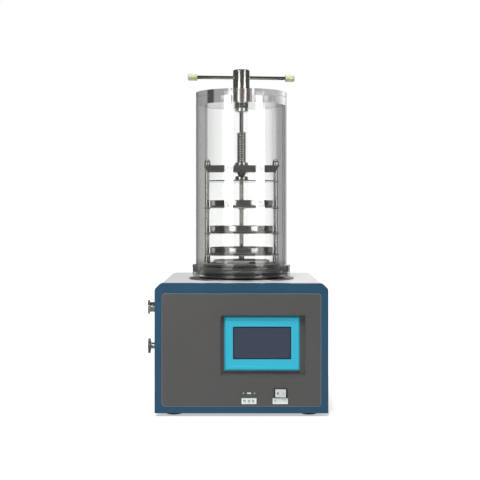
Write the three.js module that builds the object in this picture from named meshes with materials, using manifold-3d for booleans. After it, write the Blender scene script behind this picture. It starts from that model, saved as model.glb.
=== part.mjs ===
// A benchtop freeze dryer with a top-press chamber.
// Millimetres, +Z up, the front looks towards -Y. The origin is the middle of the footprint, on the bench.
import * as THREE from "three";
import { mergeVertices, toCreasedNormals } from "three/addons/utils/BufferGeometryUtils.js";
import Module from "manifold-3d";

const wasm = await Module();
wasm.setup();

// ---- Driving dimensions ----

// Gaps between pieces.
const FIT = 0.3; // between pieces that touch, screw together or slide
const PANEL_CLEARANCE = 0.4; // round a panel that drops into a window

// Facets.
const WIDE_FACETS = 32; // round the jar, its seals and plates
const HUB_FACETS = 18; // round the handle's hub, the gland and the compressor
const FINE_FACETS = 12; // round rods, nuts and holes
const CREASE = Math.PI / 5; // edges sharper than this are drawn sharp

// Cabinet shell.
const CABINET_WIDTH = 460;
const FOOT_DIAMETER = 43;
const FOOT_HEIGHT = 9;
const FOOT_INSET = 49; // from the cabinet's side to a foot's middle
const FRONT_FOOT_GAP = 2; // behind the frame
const REAR_FOOT_GAP = 20; // from a rear foot's edge to the cabinet's rear
const SHEET = 1.5; // folded steel of the cover, the tray and the rear panel
const FRAME_DEPTH = 28;
const FRAME_WALL = 3;
const FRAME_SIDE = 18.5; // width of the side bars, seen from the front
const FRAME_TOP = 26;
const FRAME_BOTTOM = 17.3;
const CORNER_CHAMFER = 15;
const CORNER_BLEND = 5;
const COVER_REVEAL = 1.5; // how far the frame stands out round the cover
const TRAY_LIP = 22;
const VENT_ROWS = 7;
const VENT_PITCH = 11;
const VENT_HEIGHT = 4;
const VENT_LENGTH = 110;

// Front panel and what sits in it.
const PANEL_RADIUS = 9;
const PANEL_PROUD = 0.6;
const PANEL_LIP = 6; // the edge that seats behind the frame
const PANEL_LIP_THICKNESS = 2;
const POCKET_WIDTH = 227;
const POCKET_HEIGHT = 160;
const POCKET_DEPTH = 12;
const POCKET_WALL = 1.5;
const POCKET_FLANGE = 6;
const POCKET_TO_PANEL_SIDE = 41; // right-hand edge of the pocket to the panel's edge
const POCKET_TO_PANEL_TOP = 57.5;
const ROW_TO_PANEL_BOTTOM = 36; // the switch and socket row above the panel's lower edge
const ROW_TO_POCKET = 46.5;
const SOCKET_FROM_POCKET_MIDDLE = -37;
const SWITCH_FROM_POCKET_MIDDLE = 46.5;

// Touch screen.
const BEZEL_WIDTH = 200;
const BEZEL_HEIGHT = 143;
const BEZEL_THICKNESS = 6;
const BEZEL_EDGE = 2; // bevel round its front
const BEZEL_RISE = 2; // above the pocket's middle
const SCREEN_WIDTH = 154;
const SCREEN_HEIGHT = 86;
const SCREEN_SUNK = 1; // glass below the bezel's face
const SCREEN_THICKNESS = 3;
const HOUSING_STEP = 6; // from the bezel's edge in to the body behind it
const HOUSING_DEPTH = 34;

// Switch and socket.
const SWITCH_WIDTH = 33;
const SWITCH_HEIGHT = 23.5;
const SWITCH_RIM = 2;
const SWITCH_PROUD = 2;
const SWITCH_DEPTH = 22;
const ROCKER_TILT = 8; // degrees either side of the middle
const ROCKER_DEPTH = 9;
const SOCKET_WIDTH = 13.4;
const SOCKET_HEIGHT = 6;
const SOCKET_WALL = 0.6;
const SOCKET_DEPTH = 16;
const SOCKET_PLATE = 38;

// Fittings on the left side.
const PORT_BELOW_DECK = 81.3;
const PORT_REACH = 37;
const PORT_BORE = 25;
const PORT_WALL = 1.5;
const PORT_FLANGE = 40;
const PORT_FLANGE_EDGE = 3;
const PORT_FLANGE_TAPER = 4;
const VALVE_STEM = 18;
const VALVE_NUT = 27;
const VALVE_NUT_THICKNESS = 5;
const VALVE_INSIDE = 16;
const VALVE_SPINDLE = 8;
const VALVE_OUTLET = 9;
const VALVE_OUTLET_LENGTH = 22;
const KNOB_DIAMETER = 45;
const KNOB_THICKNESS = 8;
const KNOB_LOBES = 6;
const KNOB_LOBE_DEPTH = 2.4;

// Cold trap in the cabinet.
const TRAP_WALL = 1.5;
const TRAP_DEPTH = 160;
const TRAP_FLANGE_THICKNESS = 3;
const TRAP_FLANGE_MARGIN = 10; // beyond the jar's flange
const TRAP_SEAT = 8; // from the drum's wall in to the pot
const FOAM = 32;
const FOAM_BELOW = 18;
const PIPE = 10;
const DRAIN_BELOW_FOAM = 15.5; // from the foam to the middle of the drain pipe
const COIL_TUBE = 8;
const COIL_TURNS = 4;
const COIL_PITCH = 24;
const COIL_TO_WALL = 8;
const COIL_CLEARANCE = 1; // round the legs in the pot's floor

// Refrigeration and cooling air.
const CHAMBER_SETBACK = 250; // from the cabinet's front to the chamber's axis
const COMPRESSOR_DIAMETER = 136;
const COMPRESSOR_HEIGHT = 185;
const COMPRESSOR_SIDE_GAP = 45;
const COMPRESSOR_FRONT_GAP = 26;
const COMPRESSOR_REAR_GAP = 50;
const COMPRESSOR_FOOT = 12;
const FAN_SIZE = 140;
const FAN_DEPTH = 34;
const FAN_WALL = 4;
const FAN_HUB = 46;
const FAN_BLADES = 7;
const FAN_CHORD = 26;
const FAN_BLADE_THICKNESS = 2;
const FAN_MOTOR_LENGTH = 12;
const FAN_RAISED = 40; // its underside above the tray
const FAN_SIDE_GAP = 50;
const CONDENSER_THICKNESS = 38;
const CONDENSER_FINS = 11;
const FIN = 1;
const INLET_WIDTH = 48;
const INLET_HEIGHT = 28;
const INLET_DEPTH = 26;
const INLET_ABOVE_LIP = 60; // its underside above the tray's lip
const BOARD_WIDTH = 120;
const BOARD_HEIGHT = 150;
const BOARD_POST = 14;
const TRANSFORMER_INSET = 12;
const TRANSFORMER_WIDTH = 45;
const TRANSFORMER_DEPTH = 34;
const TRANSFORMER_HEIGHT = 40;
const RELAY_INSET = 18; // from the board's right-hand edge
const RELAY_WIDTH = 30;
const RELAY_DEPTH = 18;
const RELAY_HEIGHT = 22;
const RELAY_PITCH = 34;

// Shelf stack, from the trays outwards.
const TRAY_DIAMETER = 182;
const TRAY_HEIGHT = 19;
const TRAY_WALL = 1;
const TRAY_RIM = 2;
const ROD_DIAMETER = 12;
const ROD_TO_TRAY = 1.5;
const ROD_FOOT = 17;
const ROD_FOOT_HEIGHT = 21.7;
const ROD_STUD = 9;
const SHELF_EDGE = 9.5; // past the rods' middles
const SHELF_THICKNESS = 2.5;
const BUSH_DIAMETER = 18;
const BUSH_HEIGHT = 4;
const LOWER_PITCH = 61.6; // bottom shelf to middle shelf
const UPPER_PITCH = 72.5; // middle shelf to top shelf
const PRESS_GAP = 72.1; // top shelf to the pressing plate
const PRESS_THICKNESS = 3;

// Base under the shelves.
const DRUM_HEIGHT = 42.5;
const DRUM_WALL = 2.5;
const DRUM_MOUTH = 120; // opening down to the cold trap
const JAR_TO_DRUM = 2;
const BAFFLE_DIAMETER = 160;
const BAFFLE_HEIGHT = 8;
const BAFFLE_WALL = 2;
const BAFFLE_SLOTS = 8;
const BAFFLE_SLOT_WIDTH = 18;
const SEAL_HEIGHT = 6.5;
const SEAL_SEAT = 8.5; // under the jar's flange

// Bell jar.
const JAR_CLEARANCE = 12; // shelves to the jar's wall
const JAR_WALL = 10;
const FLANGE_TO_SHELF = 5;
const FLANGE_MARGIN = 10;
const FLANGE_HEIGHT = 30;
const FLANGE_FLOOR = 10;
const LID_THICKNESS = 37;

// Press: foot, screw, nut and yoke.
const THRUST_BOSS = 20;
const THRUST_BOSS_HEIGHT = 2.4;
const THRUST_DIAMETER = 38;
const THRUST_HEIGHT = 10.1;
const THRUST_SOCKET = 8;
const SCREW_TIP = 13;
const SCREW_DIAMETER = 26;
const SCREW_CONE = 10.5;
const SCREW_ABOVE_YOKE = 93.5;
const SCREW_HEADROOM = 60; // screw to gland
const YOKE_ABOVE_THRUST = 11.7;
const YOKE_WIDTH = 40;
const YOKE_THICKNESS = 20;
const YOKE_END_CUT = 13;
const NUT_FLANGE = 40;
const NUT_NECK = 31;
const NUT_HEIGHT = 7;
const NUT_SLEEVE = 34;
const CAP_NUT = 17;
const CAP_NUT_SKIRT = 8;

// Gland, drive shaft and handle.
const GLAND_DIAMETER = 40;
const GLAND_THREAD = 30;
const GLAND_COLLAR = 46;
const GLAND_COLLAR_THICKNESS = 2;
const WASHER_HEIGHT = 5.5;
const GLAND_NUT = 37;
const GLAND_NUT_HEIGHT = 11;
const SHAFT_DIAMETER = 14;
const SHAFT_FLATS = 11; // across the flats of its hexagon
const SHAFT_END_ABOVE_YOKE = 15;
const SHAFT_IN_HUB = 26;
const HUB_DIAMETER = 48;
const HUB_HEIGHT = 63.4;
const HUB_EDGE = 1.5;
const BAR_DIAMETER = 10;
const BAR_ABOVE_HUB_FOOT = 41.4;
const HANDLE_LENGTH = 307;
const HANDLE_TURN = 6; // degrees, the bar's rest position
const CAP_DIAMETER = 20;
const CAP_LENGTH = 26;
const CAP_END = 3;

// ---- Sizes worked out from them ----

const OVERSHOOT = 2; // how far a cutter runs past the face it cuts

const windowWidth = CABINET_WIDTH - 2 * FRAME_SIDE;
const windowHeight = ROW_TO_PANEL_BOTTOM + ROW_TO_POCKET + POCKET_HEIGHT + POCKET_TO_PANEL_TOP;
const cabinetHeight = FRAME_BOTTOM + windowHeight + FRAME_TOP;
const deckHeight = cabinetHeight - COVER_REVEAL; // above the cabinet's underside
const deckZ = FOOT_HEIGHT + deckHeight;

const rodCircle = TRAY_DIAMETER / 2 + ROD_TO_TRAY + ROD_DIAMETER / 2;
const shelfRadius = rodCircle + SHELF_EDGE;
const jarInner = shelfRadius + JAR_CLEARANCE;
const jarOuter = jarInner + JAR_WALL;
const flangeInner = shelfRadius + FLANGE_TO_SHELF;
const flangeOuter = jarOuter + FLANGE_MARGIN;
const drumRadius = flangeInner - JAR_TO_DRUM;
const trapInner = drumRadius - TRAP_SEAT;
const trapOuter = trapInner + TRAP_WALL;
const trapFlange = flangeOuter + TRAP_FLANGE_MARGIN;
const foamRadius = trapOuter + FIT + FOAM;

const compressorY = CHAMBER_SETBACK + foamRadius + COMPRESSOR_FRONT_GAP + COMPRESSOR_DIAMETER / 2;
const compressorX = -CABINET_WIDTH / 2 + COMPRESSOR_SIDE_GAP + COMPRESSOR_DIAMETER / 2;
const cabinetDepth = compressorY + COMPRESSOR_DIAMETER / 2 + COMPRESSOR_REAR_GAP;
const coverFront = FRAME_DEPTH + FIT;
const trayInset = COVER_REVEAL + SHEET + FIT;
const trayTop = FOOT_HEIGHT + SHEET;
const rearPanelY = cabinetDepth - SHEET;
const fanX = CABINET_WIDTH / 2 - FAN_SIDE_GAP - FAN_SIZE / 2;
const fanZ = trayTop + FAN_RAISED + FAN_SIZE / 2;
const fanY = rearPanelY - FIT - FAN_DEPTH;

const panelLeft = -windowWidth / 2;
const panelBottom = FRAME_BOTTOM;
const panelFront = -PANEL_PROUD;
const panelBack = FRAME_WALL + FIT + PANEL_LIP_THICKNESS;
const pocketX = -panelLeft - POCKET_TO_PANEL_SIDE - POCKET_WIDTH / 2;
const rowZ = panelBottom + ROW_TO_PANEL_BOTTOM;
const pocketZ = rowZ + ROW_TO_POCKET + POCKET_HEIGHT / 2;
const pocketFloor = panelFront + POCKET_DEPTH;
const screenZ = pocketZ + BEZEL_RISE;
const bezelFront = pocketFloor - FIT - BEZEL_THICKNESS;
const socketX = pocketX + SOCKET_FROM_POCKET_MIDDLE;
const switchX = pocketX + SWITCH_FROM_POCKET_MIDDLE;

// Heights in the chamber, above the deck.
const trapTop = FIT + TRAP_FLANGE_THICKNESS;
const sealBottom = trapTop + FIT;
const flangeBottom = sealBottom + SEAL_HEIGHT + FIT;
const drumTop = sealBottom + DRUM_HEIGHT;
const shelfBottom = drumTop + FIT + ROD_FOOT_HEIGHT + FIT;
const shelfHeights = [0, LOWER_PITCH, LOWER_PITCH + UPPER_PITCH].map((rise) => shelfBottom + rise);
const pressBottom = shelfHeights[2] + SHELF_THICKNESS + PRESS_GAP;
const thrustBottom = pressBottom + PRESS_THICKNESS + FIT;
const thrustTop = thrustBottom + THRUST_BOSS_HEIGHT + THRUST_HEIGHT;
const yokeBottom = thrustTop + YOKE_ABOVE_THRUST;
const yokeTop = yokeBottom + YOKE_THICKNESS;
const screwTop = yokeTop + SCREW_ABOVE_YOKE;
const glandBottom = screwTop + SCREW_HEADROOM;
const washerBottom = glandBottom + GLAND_NUT_HEIGHT + FIT;
const lidBottom = washerBottom + WASHER_HEIGHT + FIT;
const lidTop = lidBottom + LID_THICKNESS;
const jarBottom = flangeBottom + FLANGE_FLOOR + FIT;
const hubBottom = lidTop + 2 * FIT + GLAND_COLLAR_THICKNESS;
const trapFloor = trapTop - TRAP_DEPTH; // inside of the pot
const foamBottom = trapFloor - TRAP_WALL - FIT - FOAM_BELOW;
const drainHeight = foamBottom - DRAIN_BELOW_FOAM;

// ---- Geometry helpers ----

// Turns a closed geometry into a solid that can be joined and cut.
function toSolid(geometry) {
  const bare = geometry.clone();
  bare.deleteAttribute("normal");
  bare.deleteAttribute("uv");
  const merged = mergeVertices(bare, 1e-4);
  const corners = merged.index.array;
  const kept = [];
  for (let i = 0; i < corners.length; i += 3) {
    const [a, b, c] = [corners[i], corners[i + 1], corners[i + 2]];
    if (a !== b && b !== c && c !== a) kept.push(a, b, c);
  }
  return new wasm.Manifold(
    new wasm.Mesh({
      numProp: 3,
      vertProperties: merged.attributes.position.array,
      triVerts: new Uint32Array(kept),
    }),
  );
}

function toGeometry(solid) {
  const mesh = solid.getMesh();
  const geometry = new THREE.BufferGeometry();
  geometry.setAttribute("position", new THREE.BufferAttribute(mesh.vertProperties, 3));
  geometry.setIndex(new THREE.BufferAttribute(mesh.triVerts, 1));
  return geometry;
}

function join(first, ...others) {
  return toGeometry(others.reduce((sum, other) => sum.add(toSolid(other)), toSolid(first)));
}

function cut(body, ...cutters) {
  return toGeometry(cutters.reduce((rest, cutter) => rest.subtract(toSolid(cutter)), toSolid(body)));
}

// A turned piece about Z: the profile is [radius, height] pairs, anticlockwise, from axis to axis.
function turned(profile, facets) {
  const points = profile.map(([radius, height]) => new THREE.Vector2(radius, height));
  return new THREE.LatheGeometry(points, facets).rotateX(Math.PI / 2);
}

// A turned piece with a bore: its profile closes on itself.
function turnedRing(profile, facets) {
  return turned([...profile, profile[0]], facets);
}

function rod(radius, bottom, top, facets) {
  return turned([[0, bottom], [radius, bottom], [radius, top], [0, top]], facets);
}

function tube(inner, outer, bottom, top, facets) {
  return turnedRing([[inner, bottom], [outer, bottom], [outer, top], [inner, top]], facets);
}

// The corner radius of a faceted bore whose flats clear a round piece that turns in it.
function boreFor(radius, facets) {
  return (radius + FIT) / Math.cos(Math.PI / facets);
}

function block(x0, x1, y0, y1, z0, z1) {
  const box = new THREE.BoxGeometry(x1 - x0, y1 - y0, z1 - z0);
  return box.translate((x0 + x1) / 2, (y0 + y1) / 2, (z0 + z1) / 2);
}

// A box seen from the front: its middle (x, z), its size, and how deep it runs from y = front.
function frontBlock(x, z, width, height, front, depth) {
  return block(x - width / 2, x + width / 2, front, front + depth, z - height / 2, z + height / 2);
}

// A rectangle with round corners about (x, y).
function roundedRectangle(x, y, width, height, radius) {
  const [left, right] = [x - width / 2, x + width / 2];
  const [low, high] = [y - height / 2, y + height / 2];
  const shape = new THREE.Shape();
  shape.moveTo(left + radius, low);
  shape.lineTo(right - radius, low);
  shape.absarc(right - radius, low + radius, radius, -Math.PI / 2, 0, false);
  shape.lineTo(right, high - radius);
  shape.absarc(right - radius, high - radius, radius, 0, Math.PI / 2, false);
  shape.lineTo(left + radius, high);
  shape.absarc(left + radius, high - radius, radius, Math.PI / 2, Math.PI, false);
  shape.lineTo(left, low + radius);
  shape.absarc(left + radius, low + radius, radius, Math.PI, 1.5 * Math.PI, false);
  return shape;
}

// An outline in the XZ plane, given thickness from y = front towards +Y.
function slab(shape, front, thickness, curveSegments = 3) {
  const plain = new THREE.ExtrudeGeometry(shape, { depth: thickness, bevelEnabled: false, curveSegments });
  return plain.rotateX(Math.PI / 2).translate(0, front + thickness, 0);
}

// The same with its front and back edges bevelled inside the outline.
function bevelledSlab(shape, front, thickness, edge) {
  const bevelled = new THREE.ExtrudeGeometry(shape, {
    depth: thickness - 2 * edge,
    bevelThickness: edge,
    bevelSize: edge,
    bevelOffset: -edge,
    bevelSegments: 1,
    curveSegments: 3,
  });
  return bevelled.rotateX(Math.PI / 2).translate(0, front + thickness - edge, 0);
}

function polygon(points) {
  return new THREE.Shape(points.map(([x, y]) => new THREE.Vector2(x, y)));
}

// A round bar or pipe along a curve.
function pipe(curve, diameter, steps, sides) {
  const section = new THREE.Shape();
  for (let side = 0; side < sides; side += 1) {
    const angle = (2 * Math.PI * side) / sides;
    const [x, y] = [(Math.cos(angle) * diameter) / 2, (Math.sin(angle) * diameter) / 2];
    if (side === 0) section.moveTo(x, y);
    else section.lineTo(x, y);
  }
  section.closePath();
  return new THREE.ExtrudeGeometry(section, { steps, extrudePath: curve, curveSegments: 1 });
}

// Points on the rods' circle: left, right and rear.
const rodPlaces = { left: Math.PI, right: 0, rear: Math.PI / 2 };

function onCircle(radius, angle) {
  return [radius * Math.cos(angle), radius * Math.sin(angle)];
}

function atRods(makeGeometry) {
  return Object.values(rodPlaces).map((angle) => {
    const [x, y] = onCircle(rodCircle, angle);
    return makeGeometry().translate(x, y, 0);
  });
}

// ---- Materials ----

function finish(color, roughness, metalness, extra = {}) {
  return new THREE.MeshStandardMaterial({ color, roughness, metalness, ...extra });
}

const bluePaint = finish(0x345a72, 0.45, 0);
const greyPaint = finish(0xd8dade, 0.5, 0);
const panelPaint = finish(0x57585a, 0.4, 0.3);
const steel = finish(0xb4b6b8, 0.22, 1);
const acrylic = finish(0xf1f5f4, 0.04, 0, { transparent: true, opacity: 0.25 });
const blackRubber = finish(0x1a1c1c, 0.8, 0);
const tealPlastic = finish(0x3cbcd4, 0.4, 0);
const screenGlass = finish(0x434857, 0.1, 0);
const blackPlastic = finish(0x202224, 0.5, 0);
const greyPlastic = finish(0xc8c8c8, 0.45, 0);
const paleCap = finish(0xcdd9a0, 0.35, 0);
const copper = finish(0xb87048, 0.35, 1);
const foamFinish = finish(0x2a2c2e, 0.9, 0);
const blackPaint = finish(0x18191a, 0.4, 0.2);
const aluminium = finish(0xc9cbcc, 0.4, 1);
const boardGreen = finish(0x1f5a3a, 0.5, 0);

function piece(name, geometry, material) {
  const mesh = new THREE.Mesh(toCreasedNormals(geometry, CREASE), material);
  mesh.name = name;
  return mesh;
}

// ---- Cabinet shell ----

// The cabinet's front view, from its underside at 0 up, drawn inset by some distance all round.
function cabinetOutline(inset) {
  const half = CABINET_WIDTH / 2 - inset;
  const top = cabinetHeight - inset;
  const chamfer = CORNER_CHAMFER - inset * Math.tan(Math.PI / 8);
  const blend = Math.min(CORNER_BLEND, chamfer / 2);
  const slope = blend * Math.SQRT1_2;
  const shape = new THREE.Shape();
  shape.moveTo(-half, inset);
  shape.lineTo(half, inset);
  shape.lineTo(half, top - chamfer - blend);
  shape.quadraticCurveTo(half, top - chamfer, half - slope, top - chamfer + slope);
  shape.lineTo(half - chamfer + slope, top - slope);
  shape.quadraticCurveTo(half - chamfer, top, half - chamfer - blend, top);
  shape.lineTo(-half + chamfer + blend, top);
  shape.quadraticCurveTo(-half + chamfer, top, -half + chamfer - slope, top - slope);
  shape.lineTo(-half + slope, top - chamfer + slope);
  shape.quadraticCurveTo(-half, top - chamfer, -half, top - chamfer - blend);
  shape.closePath();
  return shape;
}

function windowShape(growth) {
  return roundedRectangle(
    0,
    panelBottom + windowHeight / 2,
    windowWidth + 2 * growth,
    windowHeight + 2 * growth,
    PANEL_RADIUS + growth,
  );
}

// A folded frame, open behind, with a window for the panel.
function frontFrame() {
  const shell = slab(cabinetOutline(0), 0, FRAME_DEPTH);
  const hollow = slab(cabinetOutline(FRAME_WALL), FRAME_WALL, FRAME_DEPTH);
  const window = slab(windowShape(0), -OVERSHOOT, FRAME_WALL + 2 * OVERSHOOT);
  return cut(shell, hollow, window);
}

function sideVents(x) {
  const middleY = compressorY;
  return Array.from({ length: VENT_ROWS }, (_, row) => {
    const z = TRAY_LIP + 2 * VENT_PITCH + row * VENT_PITCH;
    const [y0, y1] = [middleY - VENT_LENGTH / 2, middleY + VENT_LENGTH / 2];
    return block(x - 2 * SHEET, x + 2 * SHEET, y0, y1, z, z + VENT_HEIGHT);
  });
}

// A hole through the left wall, at a height above the cabinet's underside.
function leftWallHole(radius, height) {
  const bore = rod(radius, -3 * SHEET, 3 * SHEET, FINE_FACETS).rotateY(-Math.PI / 2);
  return bore.translate(-CABINET_WIDTH / 2 + COVER_REVEAL, CHAMBER_SETBACK, height);
}

// One folded sheet: deck and both sides.
function wrapCover() {
  const length = cabinetDepth - coverFront;
  const body = slab(cabinetOutline(COVER_REVEAL), coverFront, length);
  const hollow = slab(cabinetOutline(COVER_REVEAL + SHEET), coverFront - OVERSHOOT, length + 2 * OVERSHOOT);
  const below = block(
    -CABINET_WIDTH / 2 + COVER_REVEAL + SHEET,
    CABINET_WIDTH / 2 - COVER_REVEAL - SHEET,
    coverFront - OVERSHOOT,
    cabinetDepth + OVERSHOOT,
    -OVERSHOOT,
    2 * SHEET + COVER_REVEAL,
  );
  const potHole = rod(trapOuter + FIT, -3 * SHEET, 3 * SHEET, WIDE_FACETS);
  potHole.translate(0, CHAMBER_SETBACK, deckHeight);
  return cut(
    body,
    hollow,
    below,
    potHole,
    leftWallHole(PORT_BORE / 2 + PORT_WALL + FIT, deckHeight - PORT_BELOW_DECK),
    leftWallHole(VALVE_STEM / 2 + FIT, deckHeight + drainHeight),
    ...sideVents(CABINET_WIDTH / 2 - COVER_REVEAL),
    ...sideVents(-CABINET_WIDTH / 2 + COVER_REVEAL),
  );
}

// A shallow folded tray that carries the works.
function baseTray() {
  const half = CABINET_WIDTH / 2 - trayInset;
  const [front, back] = [coverFront, rearPanelY - FIT];
  const body = block(-half, half, front, back, 0, TRAY_LIP);
  const inside = block(-half + SHEET, half - SHEET, front + SHEET, back - SHEET, SHEET, TRAY_LIP + OVERSHOOT);
  return cut(body, inside);
}

// Rings of curved slots in front of the fan.
function fanSlots() {
  const cutters = [];
  const ringPitch = (FAN_SIZE / 2 - FAN_HUB / 2) / 4;
  for (let ring = 0; ring < 3; ring += 1) {
    const inner = FAN_HUB / 2 + (ring + 0.25) * ringPitch;
    const outer = inner + 0.62 * ringPitch;
    for (let third = 0; third < 3; third += 1) {
      const from = (2 * third * Math.PI) / 3 + 6 / inner;
      const to = (2 * (third + 1) * Math.PI) / 3 - 6 / inner;
      const slot = new THREE.Shape();
      slot.absarc(fanX, fanZ - FOOT_HEIGHT, outer, from, to, false);
      slot.absarc(fanX, fanZ - FOOT_HEIGHT, inner, to, from, true);
      slot.closePath();
      cutters.push(slab(slot, rearPanelY - OVERSHOOT, SHEET + 2 * OVERSHOOT, 4));
    }
  }
  return cutters;
}

function rearPanel() {
  const sheet = slab(cabinetOutline(trayInset), rearPanelY, SHEET);
  const [width, height] = [INLET_WIDTH + 2 * FIT, INLET_HEIGHT + 2 * FIT];
  const reach = SHEET + 2 * OVERSHOOT;
  const inletHole = frontBlock(compressorX, inletZ(), width, height, rearPanelY - OVERSHOOT, reach);
  return cut(sheet, ...fanSlots(), inletHole);
}

function foot() {
  const radius = FOOT_DIAMETER / 2;
  const top = FOOT_HEIGHT - FIT;
  return turned([[0, 0], [radius - 1.5, 0], [radius, 1.5], [radius - 1, top], [0, top]], FINE_FACETS);
}

function addFeet(group) {
  const sideX = CABINET_WIDTH / 2 - FOOT_INSET;
  const frontY = FRAME_DEPTH + FOOT_DIAMETER / 2 + FRONT_FOOT_GAP;
  const rearY = cabinetDepth - FOOT_DIAMETER / 2 - REAR_FOOT_GAP;
  const places = { front_left: [-sideX, frontY], front_right: [sideX, frontY] };
  Object.assign(places, { rear_left: [-sideX, rearY], rear_right: [sideX, rearY] });
  for (const [place, [x, y]] of Object.entries(places)) {
    const mesh = piece("foot_" + place, foot(), blackRubber);
    mesh.position.set(x, y, 0);
    group.add(mesh);
  }
}

// ---- Front panel, touch screen, socket and switch ----

function frontPanel() {
  const face = slab(windowShape(-PANEL_CLEARANCE), panelFront, FRAME_WALL + FIT - panelFront + 0.5);
  const lip = slab(windowShape(PANEL_LIP), FRAME_WALL + FIT, PANEL_LIP_THICKNESS);
  const [front, reach] = [panelFront - OVERSHOOT, panelBack - panelFront + 2 * OVERSHOOT];
  const switchBody = 2 * FIT - 2 * SWITCH_RIM;
  return cut(
    join(face, lip),
    frontBlock(pocketX, pocketZ, POCKET_WIDTH, POCKET_HEIGHT, front, reach),
    frontBlock(socketX, rowZ, SOCKET_WIDTH + 2 * FIT, SOCKET_HEIGHT + 2 * FIT, front, reach),
    frontBlock(switchX, rowZ, SWITCH_WIDTH + switchBody, SWITCH_HEIGHT + switchBody, front, reach),
  );
}

// A pan in the panel's opening, with a flange behind the panel and a hole for the screen's body.
function screenPocket() {
  const width = POCKET_WIDTH - 2 * FIT;
  const height = POCKET_HEIGHT - 2 * FIT;
  const pan = frontBlock(pocketX, pocketZ, width, height, panelFront, POCKET_DEPTH + POCKET_WALL);
  const flangeWidth = width + 2 * POCKET_FLANGE;
  const flangeHeight = height + 2 * POCKET_FLANGE;
  const flange = frontBlock(pocketX, pocketZ, flangeWidth, flangeHeight, panelBack + FIT, POCKET_WALL);
  const walls = 2 * POCKET_WALL;
  const inside = frontBlock(
    pocketX,
    pocketZ,
    width - walls,
    height - walls,
    panelFront - OVERSHOOT,
    POCKET_DEPTH + OVERSHOOT,
  );
  const bodyHole = frontBlock(
    pocketX,
    screenZ,
    BEZEL_WIDTH - 2 * HOUSING_STEP + 2 * FIT,
    BEZEL_HEIGHT - 2 * HOUSING_STEP + 2 * FIT,
    pocketFloor - OVERSHOOT,
    POCKET_WALL + 2 * OVERSHOOT,
  );
  return cut(join(pan, flange), inside, bodyHole);
}

// The bezel and the sealed box behind it, with a seat for the glass.
function screenHousing() {
  const bezel = bevelledSlab(
    roundedRectangle(pocketX, screenZ, BEZEL_WIDTH, BEZEL_HEIGHT, 5),
    bezelFront,
    BEZEL_THICKNESS,
    BEZEL_EDGE,
  );
  const bodyWidth = BEZEL_WIDTH - 2 * HOUSING_STEP;
  const bodyHeight = BEZEL_HEIGHT - 2 * HOUSING_STEP;
  const bodyFront = bezelFront + BEZEL_THICKNESS / 2;
  const body = frontBlock(pocketX, screenZ, bodyWidth, bodyHeight, bodyFront, HOUSING_DEPTH);
  const seatDepth = OVERSHOOT + SCREEN_SUNK + SCREEN_THICKNESS + FIT;
  const seat = frontBlock(pocketX, screenZ, SCREEN_WIDTH, SCREEN_HEIGHT, bezelFront - OVERSHOOT, seatDepth);
  return cut(join(bezel, body), seat);
}

// The touch glass, let into the housing's face.
function screenPane() {
  const [width, height] = [SCREEN_WIDTH - 2 * FIT, SCREEN_HEIGHT - 2 * FIT];
  return frontBlock(pocketX, screenZ, width, height, bezelFront + SCREEN_SUNK, SCREEN_THICKNESS);
}

// A data socket: a metal shell with its tongue, and a plate that screws on behind the panel.
function dataSocket() {
  const [halfWidth, halfHeight] = [SOCKET_WIDTH / 2, SOCKET_HEIGHT / 2];
  const plateFront = panelBack + FIT;
  const back = panelFront + SOCKET_DEPTH;
  const shell = block(-halfWidth, halfWidth, panelFront, back, -halfHeight, halfHeight);
  const plate = block(
    -SOCKET_PLATE / 2,
    SOCKET_PLATE / 2,
    plateFront,
    plateFront + SHEET,
    -2 * halfHeight,
    2 * halfHeight,
  );
  const mouth = block(
    -halfWidth + SOCKET_WALL,
    halfWidth - SOCKET_WALL,
    panelFront - OVERSHOOT,
    back - SHEET,
    -halfHeight + SOCKET_WALL,
    halfHeight - SOCKET_WALL,
  );
  const tongue = block(
    -halfWidth + 2 * SOCKET_WALL,
    halfWidth - 2 * SOCKET_WALL,
    panelFront + SHEET,
    back - SHEET / 2,
    0,
    halfHeight - 2 * SOCKET_WALL,
  );
  return join(cut(join(shell, plate), mouth), tongue).translate(socketX, 0, rowZ);
}

// The switch's frame and the box behind it, open at the front for the rocker.
function switchHousing() {
  const bodyWidth = SWITCH_WIDTH - 2 * SWITCH_RIM;
  const bodyHeight = SWITCH_HEIGHT - 2 * SWITCH_RIM;
  const rimFront = panelFront - FIT - SWITCH_PROUD;
  const rim = frontBlock(0, 0, SWITCH_WIDTH, SWITCH_HEIGHT, rimFront, SWITCH_PROUD);
  const body = frontBlock(0, 0, bodyWidth, bodyHeight, rimFront + 1, SWITCH_DEPTH);
  const [mouthWidth, mouthHeight] = [bodyWidth - SWITCH_RIM, bodyHeight - SWITCH_RIM];
  const opening = frontBlock(0, 0, mouthWidth, mouthHeight, rimFront - OVERSHOOT, SWITCH_DEPTH);
  return cut(join(rim, body), opening).translate(switchX, 0, rowZ);
}

// The rocker turns about an upright pin; its face is two flats that meet over the pin.
function switchRocker() {
  const half = (SWITCH_WIDTH - 3 * SWITCH_RIM) / 2 - 1.2;
  const height = SWITCH_HEIGHT - 3 * SWITCH_RIM - 2 * FIT;
  const lean = half * Math.tan(THREE.MathUtils.degToRad(ROCKER_TILT));
  const face = polygon([
    [-half, 0],
    [-half * 0.75, ROCKER_DEPTH],
    [half * 0.75, ROCKER_DEPTH],
    [half, 0],
    [half, -lean],
    [0, 0],
    [-half, -lean],
  ]);
  const rocker = new THREE.ExtrudeGeometry(face, { depth: height, bevelEnabled: false });
  return rocker.translate(0, 0, -height / 2);
}

// ---- Fittings on the left side; each is turned with Z pointing out of the cabinet ----

function outwardLeft(geometry, height) {
  return geometry.rotateY(-Math.PI / 2).translate(-CABINET_WIDTH / 2, CHAMBER_SETBACK, height);
}

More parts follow.
